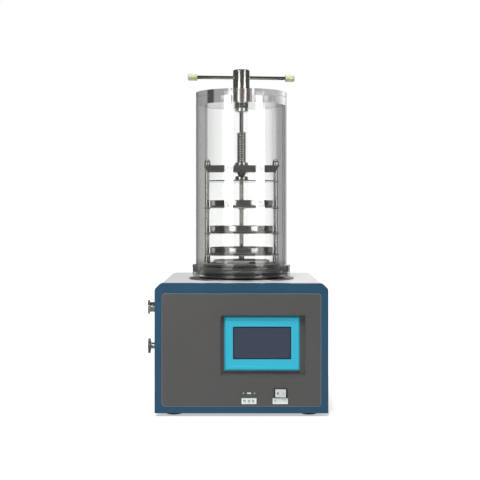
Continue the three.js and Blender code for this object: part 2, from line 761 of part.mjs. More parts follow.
// A clamp flange on a tube that runs in to the cold trap.
function vacuumPort() {
  const bore = PORT_BORE / 2;
  const outer = bore + PORT_WALL;
  const inner = -(CABINET_WIDTH / 2 - trapInner + OVERSHOOT);
  const edge = PORT_REACH - PORT_FLANGE_EDGE;
  const profile = [
    [bore, inner],
    [outer, inner],
    [outer, edge - PORT_FLANGE_TAPER],
    [PORT_FLANGE / 2, edge],
    [PORT_FLANGE / 2, PORT_REACH],
    [bore, PORT_REACH],
  ];
  return outwardLeft(turnedRing(profile, FINE_FACETS), deckZ - PORT_BELOW_DECK);
}

const knobFoot = PORT_REACH - KNOB_THICKNESS;

function valveBody() {
  const stem = VALVE_STEM / 2;
  const nutFoot = FIT - COVER_REVEAL;
  const core = turned(
    [
      [0, -VALVE_INSIDE],
      [stem, -VALVE_INSIDE],
      [stem, nutFoot],
      [VALVE_NUT / 2, nutFoot],
      [VALVE_NUT / 2, nutFoot + VALVE_NUT_THICKNESS],
      [stem, nutFoot + VALVE_NUT_THICKNESS],
      [stem, knobFoot - FIT],
      [VALVE_SPINDLE / 2, knobFoot - FIT],
      [VALVE_SPINDLE / 2, PORT_REACH - 1],
      [0, PORT_REACH - 1],
    ],
    FINE_FACETS,
  );
  const outletAt = (nutFoot + VALVE_NUT_THICKNESS + knobFoot) / 2;
  const outlet = rod(VALVE_OUTLET / 2, 0, VALVE_OUTLET_LENGTH, 12).rotateX(-Math.PI / 2);
  return outwardLeft(join(core, outlet.translate(0, 0, outletAt)), deckZ + drainHeight);
}

// A lobed hand knob with a hub, bored for the spindle.
function valveKnob() {
  const shape = new THREE.Shape();
  const steps = KNOB_LOBES * 6;
  for (let step = 0; step < steps; step += 1) {
    const angle = (2 * Math.PI * step) / steps;
    const radius = KNOB_DIAMETER / 2 - KNOB_LOBE_DEPTH * (1 - Math.cos(KNOB_LOBES * angle)) / 2;
    const [x, y] = onCircle(radius, angle);
    if (step === 0) shape.moveTo(x, y);
    else shape.lineTo(x, y);
  }
  shape.closePath();
  const disc = new THREE.ExtrudeGeometry(shape, { depth: KNOB_THICKNESS, bevelEnabled: false });
  const bore = boreFor(VALVE_SPINDLE / 2, FINE_FACETS);
  return cut(disc, rod(bore, -OVERSHOOT, KNOB_THICKNESS + OVERSHOOT, FINE_FACETS));
}

// ---- Cold trap and refrigeration ----

// Where the coil's two ends go down through the pot's floor, from the chamber's axis.
const coilRadius = trapInner - COIL_TO_WALL - COIL_TUBE / 2;
const coilOuterLeg = [coilRadius, 0];
const coilInnerLeg = [coilRadius - 2.5 * COIL_TUBE, 0];

function legHoles(bottom, top) {
  return [coilOuterLeg, coilInnerLeg].map(([x, y]) =>
    rod(COIL_TUBE / 2 + COIL_CLEARANCE, bottom, top, 8).translate(x, y, 0),
  );
}

function portBore(radius, from, to) {
  const bore = rod(radius, from, to, FINE_FACETS).rotateY(-Math.PI / 2);
  return bore.translate(0, 0, -PORT_BELOW_DECK);
}

// A spun pot whose flange lies on the deck.
function coldTrap() {
  const pot = turned(
    [
      [0, trapFloor - TRAP_WALL],
      [trapOuter, trapFloor - TRAP_WALL],
      [trapOuter, FIT],
      [trapFlange, FIT],
      [trapFlange, trapTop],
      [trapInner, trapTop],
      [trapInner, trapFloor],
      [0, trapFloor],
    ],
    WIDE_FACETS,
  );
  const [low, high] = [trapFloor - TRAP_WALL - OVERSHOOT, trapFloor + OVERSHOOT];
  return cut(
    pot,
    rod(PIPE / 2 - 1, low, high, 12),
    ...legHoles(low, high),
    portBore(PORT_BORE / 2 + PORT_WALL + FIT, trapInner / 2, trapOuter + 5),
  );
}

function insulation() {
  const top = -SHEET - FIT;
  const shell = turned(
    [
      [0, foamBottom],
      [foamRadius, foamBottom],
      [foamRadius, top],
      [trapOuter + FIT, top],
      [trapOuter + FIT, trapFloor - TRAP_WALL - FIT],
      [0, trapFloor - TRAP_WALL - FIT],
    ],
    WIDE_FACETS,
  );
  const [low, high] = [foamBottom - OVERSHOOT, trapFloor];
  return cut(
    shell,
    rod(PIPE / 2 + FIT, low, high, 12),
    ...legHoles(low, high),
    portBore(PORT_BORE / 2 + PORT_WALL + FIT, trapInner, foamRadius + 5),
  );
}

// A copper coil that stands in the pot: up one leg, round the turns and down through the floor.
function coolingCoil() {
  const legEnd = foamBottom - 1;
  const coilTop = -2 * COIL_TUBE;
  const coilBottom = coilTop - COIL_TURNS * COIL_PITCH;
  const points = [
    [coilInnerLeg[0], 0, legEnd],
    [coilInnerLeg[0], 0, (coilBottom + legEnd) / 2],
    [coilInnerLeg[0], 0, coilBottom],
    [coilInnerLeg[0], 0, coilTop - COIL_PITCH],
  ];
  const perTurn = 10;
  for (let step = 1; step < COIL_TURNS * perTurn; step += 1) {
    const angle = (2 * Math.PI * step) / perTurn;
    const [x, y] = onCircle(coilRadius, angle);
    points.push([x, y, coilTop - (step / perTurn) * COIL_PITCH]);
  }
  points.push([coilOuterLeg[0], 0, coilBottom - COIL_TUBE]);
  points.push([coilOuterLeg[0], 0, (coilBottom + legEnd) / 2 - COIL_TUBE]);
  points.push([coilOuterLeg[0], 0, legEnd]);
  const curve = new THREE.CatmullRomCurve3(points.map((p) => new THREE.Vector3(...p)));
  return pipe(curve, COIL_TUBE, Math.round(points.length * 1.6), 6);
}

// From the pot's floor down, then straight out to the valve.
function drainPipe() {
  const bend = PIPE;
  const start = new THREE.Vector3(0, 0, trapFloor - TRAP_WALL - FIT);
  const corner = new THREE.Vector3(0, 0, drainHeight);
  const end = new THREE.Vector3(-CABINET_WIDTH / 2 + VALVE_INSIDE + FIT, 0, drainHeight);
  const points = [start, corner.clone().setZ(drainHeight + bend)];
  for (const part of [0.25, 0.5, 0.75]) {
    const angle = (part * Math.PI) / 2;
    const along = bend * (Math.cos(angle) - 1);
    points.push(new THREE.Vector3(along, 0, drainHeight + bend * (1 - Math.sin(angle))));
  }
  points.push(corner.clone().setX(-bend), end);
  const path = new THREE.CurvePath();
  points.slice(1).forEach((point, i) => path.add(new THREE.LineCurve3(points[i], point)));
  return pipe(path, PIPE, 20, 8);
}

// The suction line from under the trap to the compressor.
function suctionPipe() {
  const start = [coilOuterLeg[0], 0, foamBottom - 1 - FIT];
  const target = [compressorX + COMPRESSOR_DIAMETER / 2, compressorY - CHAMBER_SETBACK];
  const level = drainHeight - 2.5 * PIPE;
  const points = [
    start,
    [start[0], 0, foamBottom - PIPE],
    [start[0], PIPE, level],
    [start[0], foamRadius / 2, level],
    [start[0] / 2, target[1] - PIPE, level],
    [target[0] + 2 * PIPE, target[1], level],
    [target[0] + FIT + 1, target[1], level],
  ];
  const curve = new THREE.CatmullRomCurve3(points.map((p) => new THREE.Vector3(...p)));
  return pipe(curve, COIL_TUBE, 24, 6);
}

// A hermetic compressor: a domed shell on a plate with four grommets.
function compressor() {
  const radius = COMPRESSOR_DIAMETER / 2;
  const shellHeight = COMPRESSOR_HEIGHT - COMPRESSOR_FOOT;
  const dome = radius * 0.5;
  const straight = shellHeight - dome;
  const profile = [
    [0, COMPRESSOR_FOOT],
    [radius * 0.8, COMPRESSOR_FOOT],
    [radius, COMPRESSOR_FOOT + radius * 0.2],
  ];
  for (let step = 0; step <= 5; step += 1) {
    const angle = (step * Math.PI) / 10;
    const height = COMPRESSOR_FOOT + straight + dome * Math.sin(angle);
    profile.push([step === 5 ? 0 : radius * Math.cos(angle), height]);
  }
  const plate = block(-radius, radius, -radius, radius, COMPRESSOR_FOOT - 3, COMPRESSOR_FOOT + 1);
  const grommets = [[1, 1], [1, -1], [-1, 1], [-1, -1]].map(([x, y]) =>
    rod(8, 0, COMPRESSOR_FOOT, 8).translate(x * (radius - 10), y * (radius - 10), 0),
  );
  return join(turned(profile, HUB_FACETS), plate, ...grommets);
}

// A finned block that stands in front of the fan.
function condenser() {
  const half = FAN_SIZE / 2;
  const height = FAN_RAISED + FAN_SIZE;
  const core = block(-half, half, -CONDENSER_THICKNESS * 0.3, CONDENSER_THICKNESS * 0.3, 0, height);
  const pitch = (FAN_SIZE - FIN) / (CONDENSER_FINS - 1);
  const fins = Array.from({ length: CONDENSER_FINS }, (_, fin) => {
    const x = -half + fin * pitch;
    return block(x, x + FIN, -CONDENSER_THICKNESS / 2, CONDENSER_THICKNESS / 2, 1, height - 1);
  });
  return join(core, ...fins);
}

// ---- Cooling fan ----

// A square frame with a round mouth, and the motor held on four struts at its rear.
function fanFrame() {
  const half = FAN_SIZE / 2;
  const body = slab(roundedRectangle(0, 0, FAN_SIZE, FAN_SIZE, 6), 0, FAN_DEPTH, 3);
  const mouth = rod(half - FAN_WALL, -OVERSHOOT, FAN_DEPTH + OVERSHOOT, 24).rotateX(-Math.PI / 2);
  const motor = rod(FAN_HUB / 2, FAN_DEPTH - FAN_MOTOR_LENGTH, FAN_DEPTH, FINE_FACETS).rotateX(-Math.PI / 2);
  const strut = (turn) => block(-3, 3, FAN_DEPTH - 4, FAN_DEPTH, -half + 1, half - 1).rotateY(turn);
  return join(cut(body, mouth), motor, strut(Math.PI / 4), strut(-Math.PI / 4));
}

function fanBlades() {
  const hubDepth = FAN_DEPTH - FAN_MOTOR_LENGTH - 1 - 3;
  const tip = FAN_SIZE / 2 - FAN_WALL - 3;
  const hub = rod(FAN_HUB / 2, 3, 3 + hubDepth, FINE_FACETS).rotateX(-Math.PI / 2);
  const blades = Array.from({ length: FAN_BLADES }, (_, blade) => {
    const length = tip - FAN_HUB / 2 + 3;
    const flat = new THREE.BoxGeometry(FAN_CHORD, FAN_BLADE_THICKNESS, length).rotateZ(Math.PI / 6);
    flat.translate(0, 3 + hubDepth / 2, (tip + FAN_HUB / 2 - 3) / 2);
    return flat.rotateY((2 * Math.PI * blade) / FAN_BLADES);
  });
  const reach = rod(tip, 0, FAN_DEPTH, 24).rotateX(-Math.PI / 2);
  const joined = toSolid(join(hub, ...blades));
  return toGeometry(joined.intersect(toSolid(reach)));
}

// ---- Power inlet and control board ----

function inletZ() {
  return TRAY_LIP + INLET_HEIGHT + INLET_ABOVE_LIP;
}

function powerInlet() {
  const rim = frontBlock(0, 0, INLET_WIDTH + 8, INLET_HEIGHT + 8, cabinetDepth + FIT, 2);
  const body = frontBlock(0, 0, INLET_WIDTH, INLET_HEIGHT, cabinetDepth - INLET_DEPTH, INLET_DEPTH + 1);
  const mouthDepth = INLET_DEPTH - 6;
  const mouth = slab(
    polygon([[-12, -9], [12, -9], [12, 4], [7, 9], [-7, 9], [-12, 4]]),
    cabinetDepth + 2 + OVERSHOOT - mouthDepth,
    mouthDepth,
  );
  const pins = [[-7, -2], [0, 2], [7, -2]].map(([x, z]) =>
    block(x - 1, x + 1, cabinetDepth - INLET_DEPTH + 2, cabinetDepth - 4, z - 2, z + 2),
  );
  return join(cut(join(rim, body), mouth), ...pins).translate(compressorX, 0, FOOT_HEIGHT + inletZ());
}

// A board on four posts behind the panel, with its relays and transformer.
function controlBoard() {
  const [halfWidth, halfHeight] = [BOARD_WIDTH / 2, BOARD_HEIGHT / 2];
  const post = BOARD_POST;
  const board = block(-halfWidth, halfWidth, post, post + 2, -halfHeight, halfHeight);
  const posts = [[1, 1], [1, -1], [-1, 1], [-1, -1]].map(([x, z]) => {
    const [px, pz] = [x * (halfWidth - 8), z * (halfHeight - 8)];
    return block(px - 3, px + 3, 0, post + 1, pz - 3, pz + 3);
  });
  const [left, low] = [-halfWidth + TRANSFORMER_INSET, -halfHeight + TRANSFORMER_INSET];
  const [right, deep] = [left + TRANSFORMER_WIDTH, post + TRANSFORMER_DEPTH];
  const transformer = block(left, right, post + 1, deep, low, low + TRANSFORMER_HEIGHT);
  const relayRight = halfWidth - RELAY_INSET;
  const relays = [0, 1, 2].map((row) => {
    const z = -1.5 * RELAY_PITCH + 1 + row * RELAY_PITCH;
    return block(relayRight - RELAY_WIDTH, relayRight, post + 1, post + RELAY_DEPTH, z, z + RELAY_HEIGHT);
  });
  return join(board, ...posts, transformer, ...relays);
}

// ---- Base of the chamber ----

// An upturned pan that carries the rods; its mouth opens to the cold trap.
function baseDrum() {
  const pan = turnedRing(
    [
      [drumRadius - DRUM_WALL, sealBottom],
      [drumRadius, sealBottom],
      [drumRadius, drumTop - 1],
      [drumRadius - 1, drumTop],
      [DRUM_MOUTH / 2, drumTop],
      [DRUM_MOUTH / 2, drumTop - DRUM_WALL],
      [drumRadius - DRUM_WALL, drumTop - DRUM_WALL],
    ],
    WIDE_FACETS,
  );
  const [low, high] = [drumTop - DRUM_WALL - OVERSHOOT, drumTop + OVERSHOOT];
  const studHoles = atRods(() => rod(ROD_STUD / 2 + FIT, low, high, FINE_FACETS));
  return cut(pan, ...studHoles);
}

// A low cap over the mouth, slotted round its edge so that vapour passes.
function baffleDisc() {
  const radius = BAFFLE_DIAMETER / 2;
  const cap = turned(
    [
      [0, BAFFLE_HEIGHT - BAFFLE_WALL],
      [radius - BAFFLE_WALL, BAFFLE_HEIGHT - BAFFLE_WALL],
      [radius - BAFFLE_WALL, 0],
      [radius, 0],
      [radius, BAFFLE_HEIGHT - 1],
      [radius - 1, BAFFLE_HEIGHT],
      [0, BAFFLE_HEIGHT],
    ],
    WIDE_FACETS,
  );
  const reach = radius + OVERSHOOT;
  const slotTop = BAFFLE_HEIGHT - BAFFLE_WALL - 1;
  const halfSlot = BAFFLE_SLOT_WIDTH / 2;
  const slots = Array.from({ length: BAFFLE_SLOTS / 2 }, (_, slot) => {
    const angle = ((slot + 0.5) * 2 * Math.PI) / BAFFLE_SLOTS;
    return block(-reach, reach, -halfSlot, halfSlot, -OVERSHOOT, slotTop).rotateZ(angle);
  });
  return cut(cap, ...slots);
}

function sealRing() {
  return tube(drumRadius + FIT, flangeInner + SEAL_SEAT, sealBottom, sealBottom + SEAL_HEIGHT, WIDE_FACETS);
}

// ---- Bell jar ----

// A ring with a seat into which the tube is bonded.
function chamberFlange() {
  const [bottom, top] = [flangeBottom, flangeBottom + FLANGE_HEIGHT];
  const floor = bottom + FLANGE_FLOOR;
  return turnedRing(
    [
      [flangeInner, bottom],
      [flangeOuter - 1, bottom],
      [flangeOuter, bottom + 1],
      [flangeOuter, top - 1],
      [flangeOuter - 1, top],
      [jarOuter + FIT, top],
      [jarOuter + FIT, floor],
      [flangeInner, floor],
    ],
    WIDE_FACETS,
  );
}

function chamberLid() {
  const bore = boreFor(GLAND_DIAMETER / 2, WIDE_FACETS);
  return turnedRing(
    [
      [bore, lidBottom],
      [jarOuter, lidBottom],
      [jarOuter, lidTop - 1],
      [jarOuter - 1, lidTop],
      [bore, lidTop],
    ],
    WIDE_FACETS,
  );
}

// ---- Shelves and trays ----

function shelf(withBushes) {
  const rodHole = ROD_DIAMETER / 2 + FIT;
  const disc = rod(shelfRadius, 0, SHELF_THICKNESS, WIDE_FACETS);
  const bushes = withBushes ? atRods(() => rod(BUSH_DIAMETER / 2, -BUSH_HEIGHT, 1, FINE_FACETS)) : [];
  const [low, high] = [-BUSH_HEIGHT - OVERSHOOT, SHELF_THICKNESS + OVERSHOOT];
  const holes = atRods(() => rod(rodHole, low, high, FINE_FACETS));
  return cut(join(disc, ...bushes), ...holes);
}

function tray() {
  const radius = TRAY_DIAMETER / 2;
  const wall = radius - TRAY_RIM / 2;
  return turned(
    [
      [0, 0],
      [wall - 1.5, 0],
      [wall, 1.5],
      [wall, TRAY_HEIGHT - TRAY_RIM],
      [radius, TRAY_HEIGHT - TRAY_RIM],
      [radius, TRAY_HEIGHT],
      [wall - TRAY_WALL, TRAY_HEIGHT],
      [wall - TRAY_WALL, TRAY_WALL],
      [0, TRAY_WALL],
    ],
    WIDE_FACETS,
  );
}

function addShelves(group) {
  ["bottom", "middle", "top"].forEach((level, i) => {
    const plate = piece("shelf_" + level, shelf(i > 0), steel);
    plate.position.z = shelfHeights[i];
    const pan = piece("tray_" + level, tray(), steel);
    pan.position.z = shelfHeights[i] + SHELF_THICKNESS + FIT;
    group.add(plate, pan);
  });
}

// ---- Tie rods and yoke ----

const yokeShoulder = yokeBottom + YOKE_THICKNESS / 2;
const capNutBottom = yokeTop + FIT;
const studTop = capNutBottom + CAP_NUT_SKIRT;

function tieRod() {
  const radius = ROD_DIAMETER / 2;
  const foot = drumTop + FIT;
  return turned(
    [
      [0, foot - DRUM_WALL - 4],
      [ROD_STUD / 2, foot - DRUM_WALL - 4],
      [ROD_STUD / 2, foot],
      [ROD_FOOT / 2, foot],
      [ROD_FOOT / 2, foot + ROD_FOOT_HEIGHT - 1],
      [ROD_FOOT / 2 - 1, foot + ROD_FOOT_HEIGHT],
      [radius, foot + ROD_FOOT_HEIGHT],
      [radius, yokeShoulder - FIT],
      [ROD_STUD / 2, yokeShoulder - FIT],
      [ROD_STUD / 2, studTop],
      [0, studTop],
    ],
    FINE_FACETS,
  );
}

function capNut() {
  const radius = CAP_NUT / 2;
  const bore = ROD_STUD / 2 + FIT;
  const profile = [[bore, 0], [radius, 0], [radius, CAP_NUT_SKIRT]];
  for (let step = 1; step <= 3; step += 1) {
    const angle = (step * Math.PI) / 6;
    const height = CAP_NUT_SKIRT + radius * 1.3 * Math.sin(angle);
    profile.push([step === 3 ? 0 : radius * Math.cos(angle), height]);
  }
  profile.push([0, CAP_NUT_SKIRT + 2], [bore, CAP_NUT_SKIRT + 2], [bore, 0]);
  return turned(profile, FINE_FACETS);
}

function addRods(group) {
  for (const [place, angle] of Object.entries(rodPlaces)) {
    const [x, y] = onCircle(rodCircle, angle);
    const bar = piece("tie_rod_" + place, tieRod(), steel);
    bar.position.set(x, y, 0);
    const nut = piece("cap_nut_" + place, capNut(), steel);
    nut.position.set(x, y, capNutBottom);
    group.add(bar, nut);
  }
}

// A flat bar across the jar with an arm back to the rear rod.
function yokeBeam() {
  const reach = rodCircle + SHELF_EDGE;
  const half = YOKE_WIDTH / 2;
  const profile = polygon([
    [-reach, YOKE_THICKNESS],
    [-reach, YOKE_THICKNESS - 2],
    [-reach + YOKE_END_CUT, 0],
    [reach - YOKE_END_CUT, 0],
    [reach, YOKE_THICKNESS - 2],
    [reach, YOKE_THICKNESS],
  ]);
  const bar = slab(profile, -half, YOKE_WIDTH);
  const arm = block(-half, half, 0, reach, 0, YOKE_THICKNESS);
  const [low, high] = [-OVERSHOOT, YOKE_THICKNESS + OVERSHOOT];
  return cut(
    join(bar, arm),
    rod(NUT_SLEEVE / 2 + FIT, low, high, HUB_FACETS),
    ...atRods(() => rod(ROD_DIAMETER / 2 + FIT, low, YOKE_THICKNESS / 2, FINE_FACETS)),
    ...atRods(() => rod(ROD_STUD / 2 + FIT, low, high, FINE_FACETS)),
  );
}

// A flanged nut let into the yoke.
function screwNut() {
  const bore = boreFor(SCREW_DIAMETER / 2, HUB_FACETS);
  return turnedRing(
    [
      [bore, -YOKE_THICKNESS + 1],
      [NUT_SLEEVE / 2, -YOKE_THICKNESS + 1],
      [NUT_SLEEVE / 2, FIT],
      [NUT_FLANGE / 2, FIT],
      [NUT_FLANGE / 2, 2],
      [NUT_NECK / 2, NUT_HEIGHT],
      [bore, NUT_HEIGHT],
    ],
    HUB_FACETS,
  );
}

// ---- Press ----

function pressPlate() {
  const disc = rod(shelfRadius, 0, PRESS_THICKNESS, WIDE_FACETS);
  const rodHole = ROD_DIAMETER / 2 + FIT;
  const holes = atRods(() => rod(rodHole, -OVERSHOOT, PRESS_THICKNESS + OVERSHOOT, FINE_FACETS));
  return cut(disc, ...holes);
}

// A turned foot on the plate, with a socket for the screw's tip.
function thrustFoot() {
  const radius = THRUST_DIAMETER / 2;
  const edge = THRUST_HEIGHT / 3;
  const top = THRUST_BOSS_HEIGHT + THRUST_HEIGHT;
  const socket = boreFor(SCREW_TIP / 2, HUB_FACETS);
  return turned(
    [
      [0, 0],
      [THRUST_BOSS / 2, 0],
      [THRUST_BOSS / 2, THRUST_BOSS_HEIGHT],
      [radius - edge, THRUST_BOSS_HEIGHT],
      [radius, THRUST_BOSS_HEIGHT + edge],
      [radius, top - edge],
      [radius - edge, top],
      [socket, top],
      [socket, top - THRUST_SOCKET],
      [0, top - THRUST_SOCKET],
    ],
    HUB_FACETS,
  );
}

// A hexagonal prism with its corners on the given radius.
function hexagon(acrossFlats, bottom, top) {
  return rod(acrossFlats / Math.sqrt(3), bottom, top, 6);
}

// The lead screw, bored with a hexagon for the drive shaft.
function pressScrew() {
  const radius = SCREW_DIAMETER / 2;
  const tip = SCREW_TIP / 2;
  const body = turned(
    [
      [0, thrustTop - THRUST_SOCKET + FIT],
      [tip, thrustTop - THRUST_SOCKET + FIT],
      [tip, yokeBottom - SCREW_CONE],
      [radius, yokeBottom],
      [radius, screwTop - 1.5],
      [radius - 1.5, screwTop],
      [0, screwTop],
    ],
    HUB_FACETS,
  );
  return cut(body, hexagon(SHAFT_FLATS + 2 * FIT, yokeTop, screwTop + OVERSHOOT));
}

// ---- Gland, drive shaft and handle ----

function glandBody() {
  const bore = boreFor(SHAFT_DIAMETER / 2, HUB_FACETS);
  const collar = lidTop + FIT;
  return turnedRing(
    [
      [bore, glandBottom + 2],
      [GLAND_THREAD / 2, glandBottom + 2],
      [GLAND_THREAD / 2, lidBottom],
      [GLAND_DIAMETER / 2, lidBottom],
      [GLAND_DIAMETER / 2, collar],
      [GLAND_COLLAR / 2, collar],
      [GLAND_COLLAR / 2, collar + GLAND_COLLAR_THICKNESS],
      [bore, collar + GLAND_COLLAR_THICKNESS],
    ],
    HUB_FACETS,
  );
}

// A rubber ring under the lid, held by the nut below it.
function glandWasher() {
  const outer = GLAND_DIAMETER / 2 + 1;
  return tube(GLAND_THREAD / 2 + FIT, outer, washerBottom, washerBottom + WASHER_HEIGHT, HUB_FACETS);
}

function glandNut() {
  const outer = GLAND_NUT / 2;
  const top = glandBottom + GLAND_NUT_HEIGHT;
  return turnedRing(
    [
      [GLAND_THREAD / 2 + FIT, glandBottom],
      [outer - 1.5, glandBottom],
      [outer, glandBottom + 1.5],
      [outer, top],
      [GLAND_THREAD / 2 + FIT, top],
    ],
    HUB_FACETS,
  );
}

function driveShaft() {
  const round = rod(SHAFT_DIAMETER / 2, glandBottom - 2, hubBottom + SHAFT_IN_HUB, HUB_FACETS);
  return join(round, hexagon(SHAFT_FLATS, yokeTop + SHAFT_END_ABOVE_YOKE, glandBottom));
}

function handleHub() {
  const radius = HUB_DIAMETER / 2;
  const body = turned(
    [
      [0, hubBottom],
      [radius, hubBottom],
      [radius, hubBottom + HUB_HEIGHT - HUB_EDGE],
      [radius - HUB_EDGE, hubBottom + HUB_HEIGHT],
      [0, hubBottom + HUB_HEIGHT],
    ],
    HUB_FACETS,
  );
  const shaftTop = hubBottom + SHAFT_IN_HUB + FIT;
  const shaftBore = rod(SHAFT_DIAMETER / 2 + FIT, hubBottom - OVERSHOOT, shaftTop, HUB_FACETS);
  const crossBore = rod(BAR_DIAMETER / 2 + FIT, -radius - OVERSHOOT, radius + OVERSHOOT, FINE_FACETS);
  return cut(body, shaftBore, crossBore.rotateY(Math.PI / 2).translate(0, 0, hubBottom + BAR_ABOVE_HUB_FOOT));
}

function handleBar() {
  const half = HANDLE_LENGTH / 2 - CAP_END - FIT;
  return rod(BAR_DIAMETER / 2, -half, half, FINE_FACETS).rotateY(Math.PI / 2);
}

// A moulded cap pushed over the bar's end; side is -1 on the left and 1 on the right.
function handleCap(side) {
  const radius = CAP_DIAMETER / 2;
  const bore = BAR_DIAMETER / 2 + FIT;
  const cap = turned(
    [
      [0, CAP_LENGTH - CAP_END],
      [bore, CAP_LENGTH - CAP_END],
      [bore, 0],
      [radius - 1, 0],
      [radius, 1],
      [radius, CAP_LENGTH - 1.5],
      [radius - 1.5, CAP_LENGTH],
      [0, CAP_LENGTH],
    ],
    FINE_FACETS,
  );
  const out = cap.translate(0, 0, HANDLE_LENGTH / 2 - CAP_LENGTH);
  return out.rotateY((side * Math.PI) / 2);
}

function addHandle(group) {
  const handle = new THREE.Group();
  handle.rotation.z = THREE.MathUtils.degToRad(HANDLE_TURN);
  const barHeight = hubBottom + BAR_ABOVE_HUB_FOOT;
  const bar = piece("handle_bar", handleBar(), steel);
  const left = piece("handle_cap_left", handleCap(-1), paleCap);
  const right = piece("handle_cap_right", handleCap(1), paleCap);
  for (const mesh of [bar, left, right]) mesh.position.z = barHeight;
  handle.add(piece("handle_hub", handleHub(), steel), bar, left, right);
  group.add(handle);
}

// ---- Assembly ----

function addAt(group, name, geometry, material, x, y, z) {
  const mesh = piece(name, geometry, material);
  mesh.position.set(x, y, z);
  group.add(mesh);
  return mesh;
}

function makeCabinet() {
  const group = new THREE.Group();
  addFeet(group);
  addAt(group, "base_tray", baseTray(), greyPaint, 0, 0, FOOT_HEIGHT);
  addAt(group, "wrap_cover", wrapCover(), greyPaint, 0, 0, FOOT_HEIGHT);
  addAt(group, "front_frame", frontFrame(), bluePaint, 0, 0, FOOT_HEIGHT);
  addAt(group, "rear_panel", rearPanel(), greyPaint, 0, 0, FOOT_HEIGHT);
  addAt(group, "front_panel", frontPanel(), panelPaint, 0, 0, FOOT_HEIGHT);
  addAt(group, "screen_pocket", screenPocket(), panelPaint, 0, 0, FOOT_HEIGHT);
  addAt(group, "screen_housing", screenHousing(), tealPlastic, 0, 0, FOOT_HEIGHT);
  addAt(group, "screen_glass", screenPane(), screenGlass, 0, 0, FOOT_HEIGHT);
  addAt(group, "data_socket", dataSocket(), steel, 0, 0, FOOT_HEIGHT);
  addAt(group, "switch_housing", switchHousing(), blackPlastic, 0, 0, FOOT_HEIGHT);
  const rockerY = panelFront - FIT - SWITCH_PROUD;
  const rowHeight = FOOT_HEIGHT + rowZ;
  const rocker = addAt(group, "switch_rocker", switchRocker(), greyPlastic, switchX, rockerY, rowHeight);
  rocker.rotation.z = THREE.MathUtils.degToRad(-ROCKER_TILT);
  group.add(piece("vacuum_port", vacuumPort(), steel), piece("valve_body", valveBody(), steel));
  const knob = outwardLeft(valveKnob().translate(0, 0, knobFoot), deckZ + drainHeight);
  group.add(piece("valve_knob", knob, blackPlastic), piece("power_inlet", powerInlet(), blackPlastic));
  return group;
}

function makeWorks() {
  const group = new THREE.Group();
  addAt(group, "compressor", compressor(), blackPaint, compressorX, compressorY, trayTop + FIT);
  const condenserY = fanY - FIT - CONDENSER_THICKNESS / 2;
  addAt(group, "condenser", condenser(), aluminium, fanX, condenserY, trayTop + FIT);
  addAt(group, "fan_frame", fanFrame(), blackPlastic, fanX, fanY, fanZ);
  addAt(group, "fan_blades", fanBlades(), blackPlastic, fanX, fanY, fanZ);
  const boardX = panelLeft + BOARD_WIDTH / 2 + 10;
  addAt(group, "control_board", controlBoard(), boardGreen, boardX, panelBack + FIT, FOOT_HEIGHT + pocketZ);
  return group;
}

function makeChamber() {
  const group = new THREE.Group();
  group.position.set(0, CHAMBER_SETBACK, deckZ);
  group.add(
    piece("cold_trap", coldTrap(), steel),
    piece("insulation", insulation(), foamFinish),
    piece("cooling_coil", coolingCoil(), copper),
    piece("drain_pipe", drainPipe(), copper),
    piece("suction_pipe", suctionPipe(), copper),
    piece("seal_ring", sealRing(), blackRubber),
    piece("base_drum", baseDrum(), steel),
    piece("chamber_flange", chamberFlange(), acrylic),
    piece("chamber_tube", tube(jarInner, jarOuter, jarBottom, lidBottom - FIT, WIDE_FACETS), acrylic),
    piece("chamber_lid", chamberLid(), acrylic),
    piece("gland_body", glandBody(), steel),
    piece("gland_washer", glandWasher(), blackRubber),
    piece("gland_nut", glandNut(), steel),
    piece("drive_shaft", driveShaft(), steel),
    piece("press_screw", pressScrew(), steel),
  );
  addAt(group, "baffle_disc", baffleDisc(), steel, 0, 0, drumTop + FIT);
  addAt(group, "press_plate", pressPlate(), steel, 0, 0, pressBottom);
  addAt(group, "thrust_foot", thrustFoot(), steel, 0, 0, thrustBottom);
  addAt(group, "yoke_beam", yokeBeam(), steel, 0, 0, yokeBottom);
  addAt(group, "screw_nut", screwNut(), steel, 0, 0, yokeTop);
  addShelves(group);
  addRods(group);
  addHandle(group);
  return group;
}

// The group's origin is the middle of the footprint, at bench height.
function makeFreezeDryer() {
  const dryer = new THREE.Group();
  dryer.add(makeCabinet(), makeWorks(), makeChamber());
  const middle = new THREE.Box3().setFromObject(dryer).getCenter(new THREE.Vector3());
  const placed = new THREE.Group();
  dryer.position.set(-middle.x, -middle.y, 0);
  placed.add(dryer);
  return placed;
}

export default makeFreezeDryer();
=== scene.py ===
import math

import bpy
from mathutils import Matrix, Vector


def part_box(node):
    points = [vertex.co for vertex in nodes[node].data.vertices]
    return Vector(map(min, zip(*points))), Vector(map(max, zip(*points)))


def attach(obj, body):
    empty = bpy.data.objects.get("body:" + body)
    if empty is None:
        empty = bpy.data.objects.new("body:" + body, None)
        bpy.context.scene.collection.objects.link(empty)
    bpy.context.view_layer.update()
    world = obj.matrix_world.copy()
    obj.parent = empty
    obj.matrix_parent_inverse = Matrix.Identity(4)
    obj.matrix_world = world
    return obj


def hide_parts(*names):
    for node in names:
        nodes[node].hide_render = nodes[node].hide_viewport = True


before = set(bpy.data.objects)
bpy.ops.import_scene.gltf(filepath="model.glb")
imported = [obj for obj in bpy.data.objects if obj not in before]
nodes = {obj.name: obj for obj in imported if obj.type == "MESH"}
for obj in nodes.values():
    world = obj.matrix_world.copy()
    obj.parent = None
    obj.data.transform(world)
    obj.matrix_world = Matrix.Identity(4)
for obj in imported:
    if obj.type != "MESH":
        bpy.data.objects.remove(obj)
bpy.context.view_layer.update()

# ---- Camera ----
# A long lens on a level tripod, square to the machine's front and a little above the deck.
front_low, front_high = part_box("front_frame")
CAMERA_AWAY, CAMERA_HEIGHT = 2.9, 0.5332  # metres
camera = bpy.data.objects.new("camera", bpy.data.cameras.new("camera"))
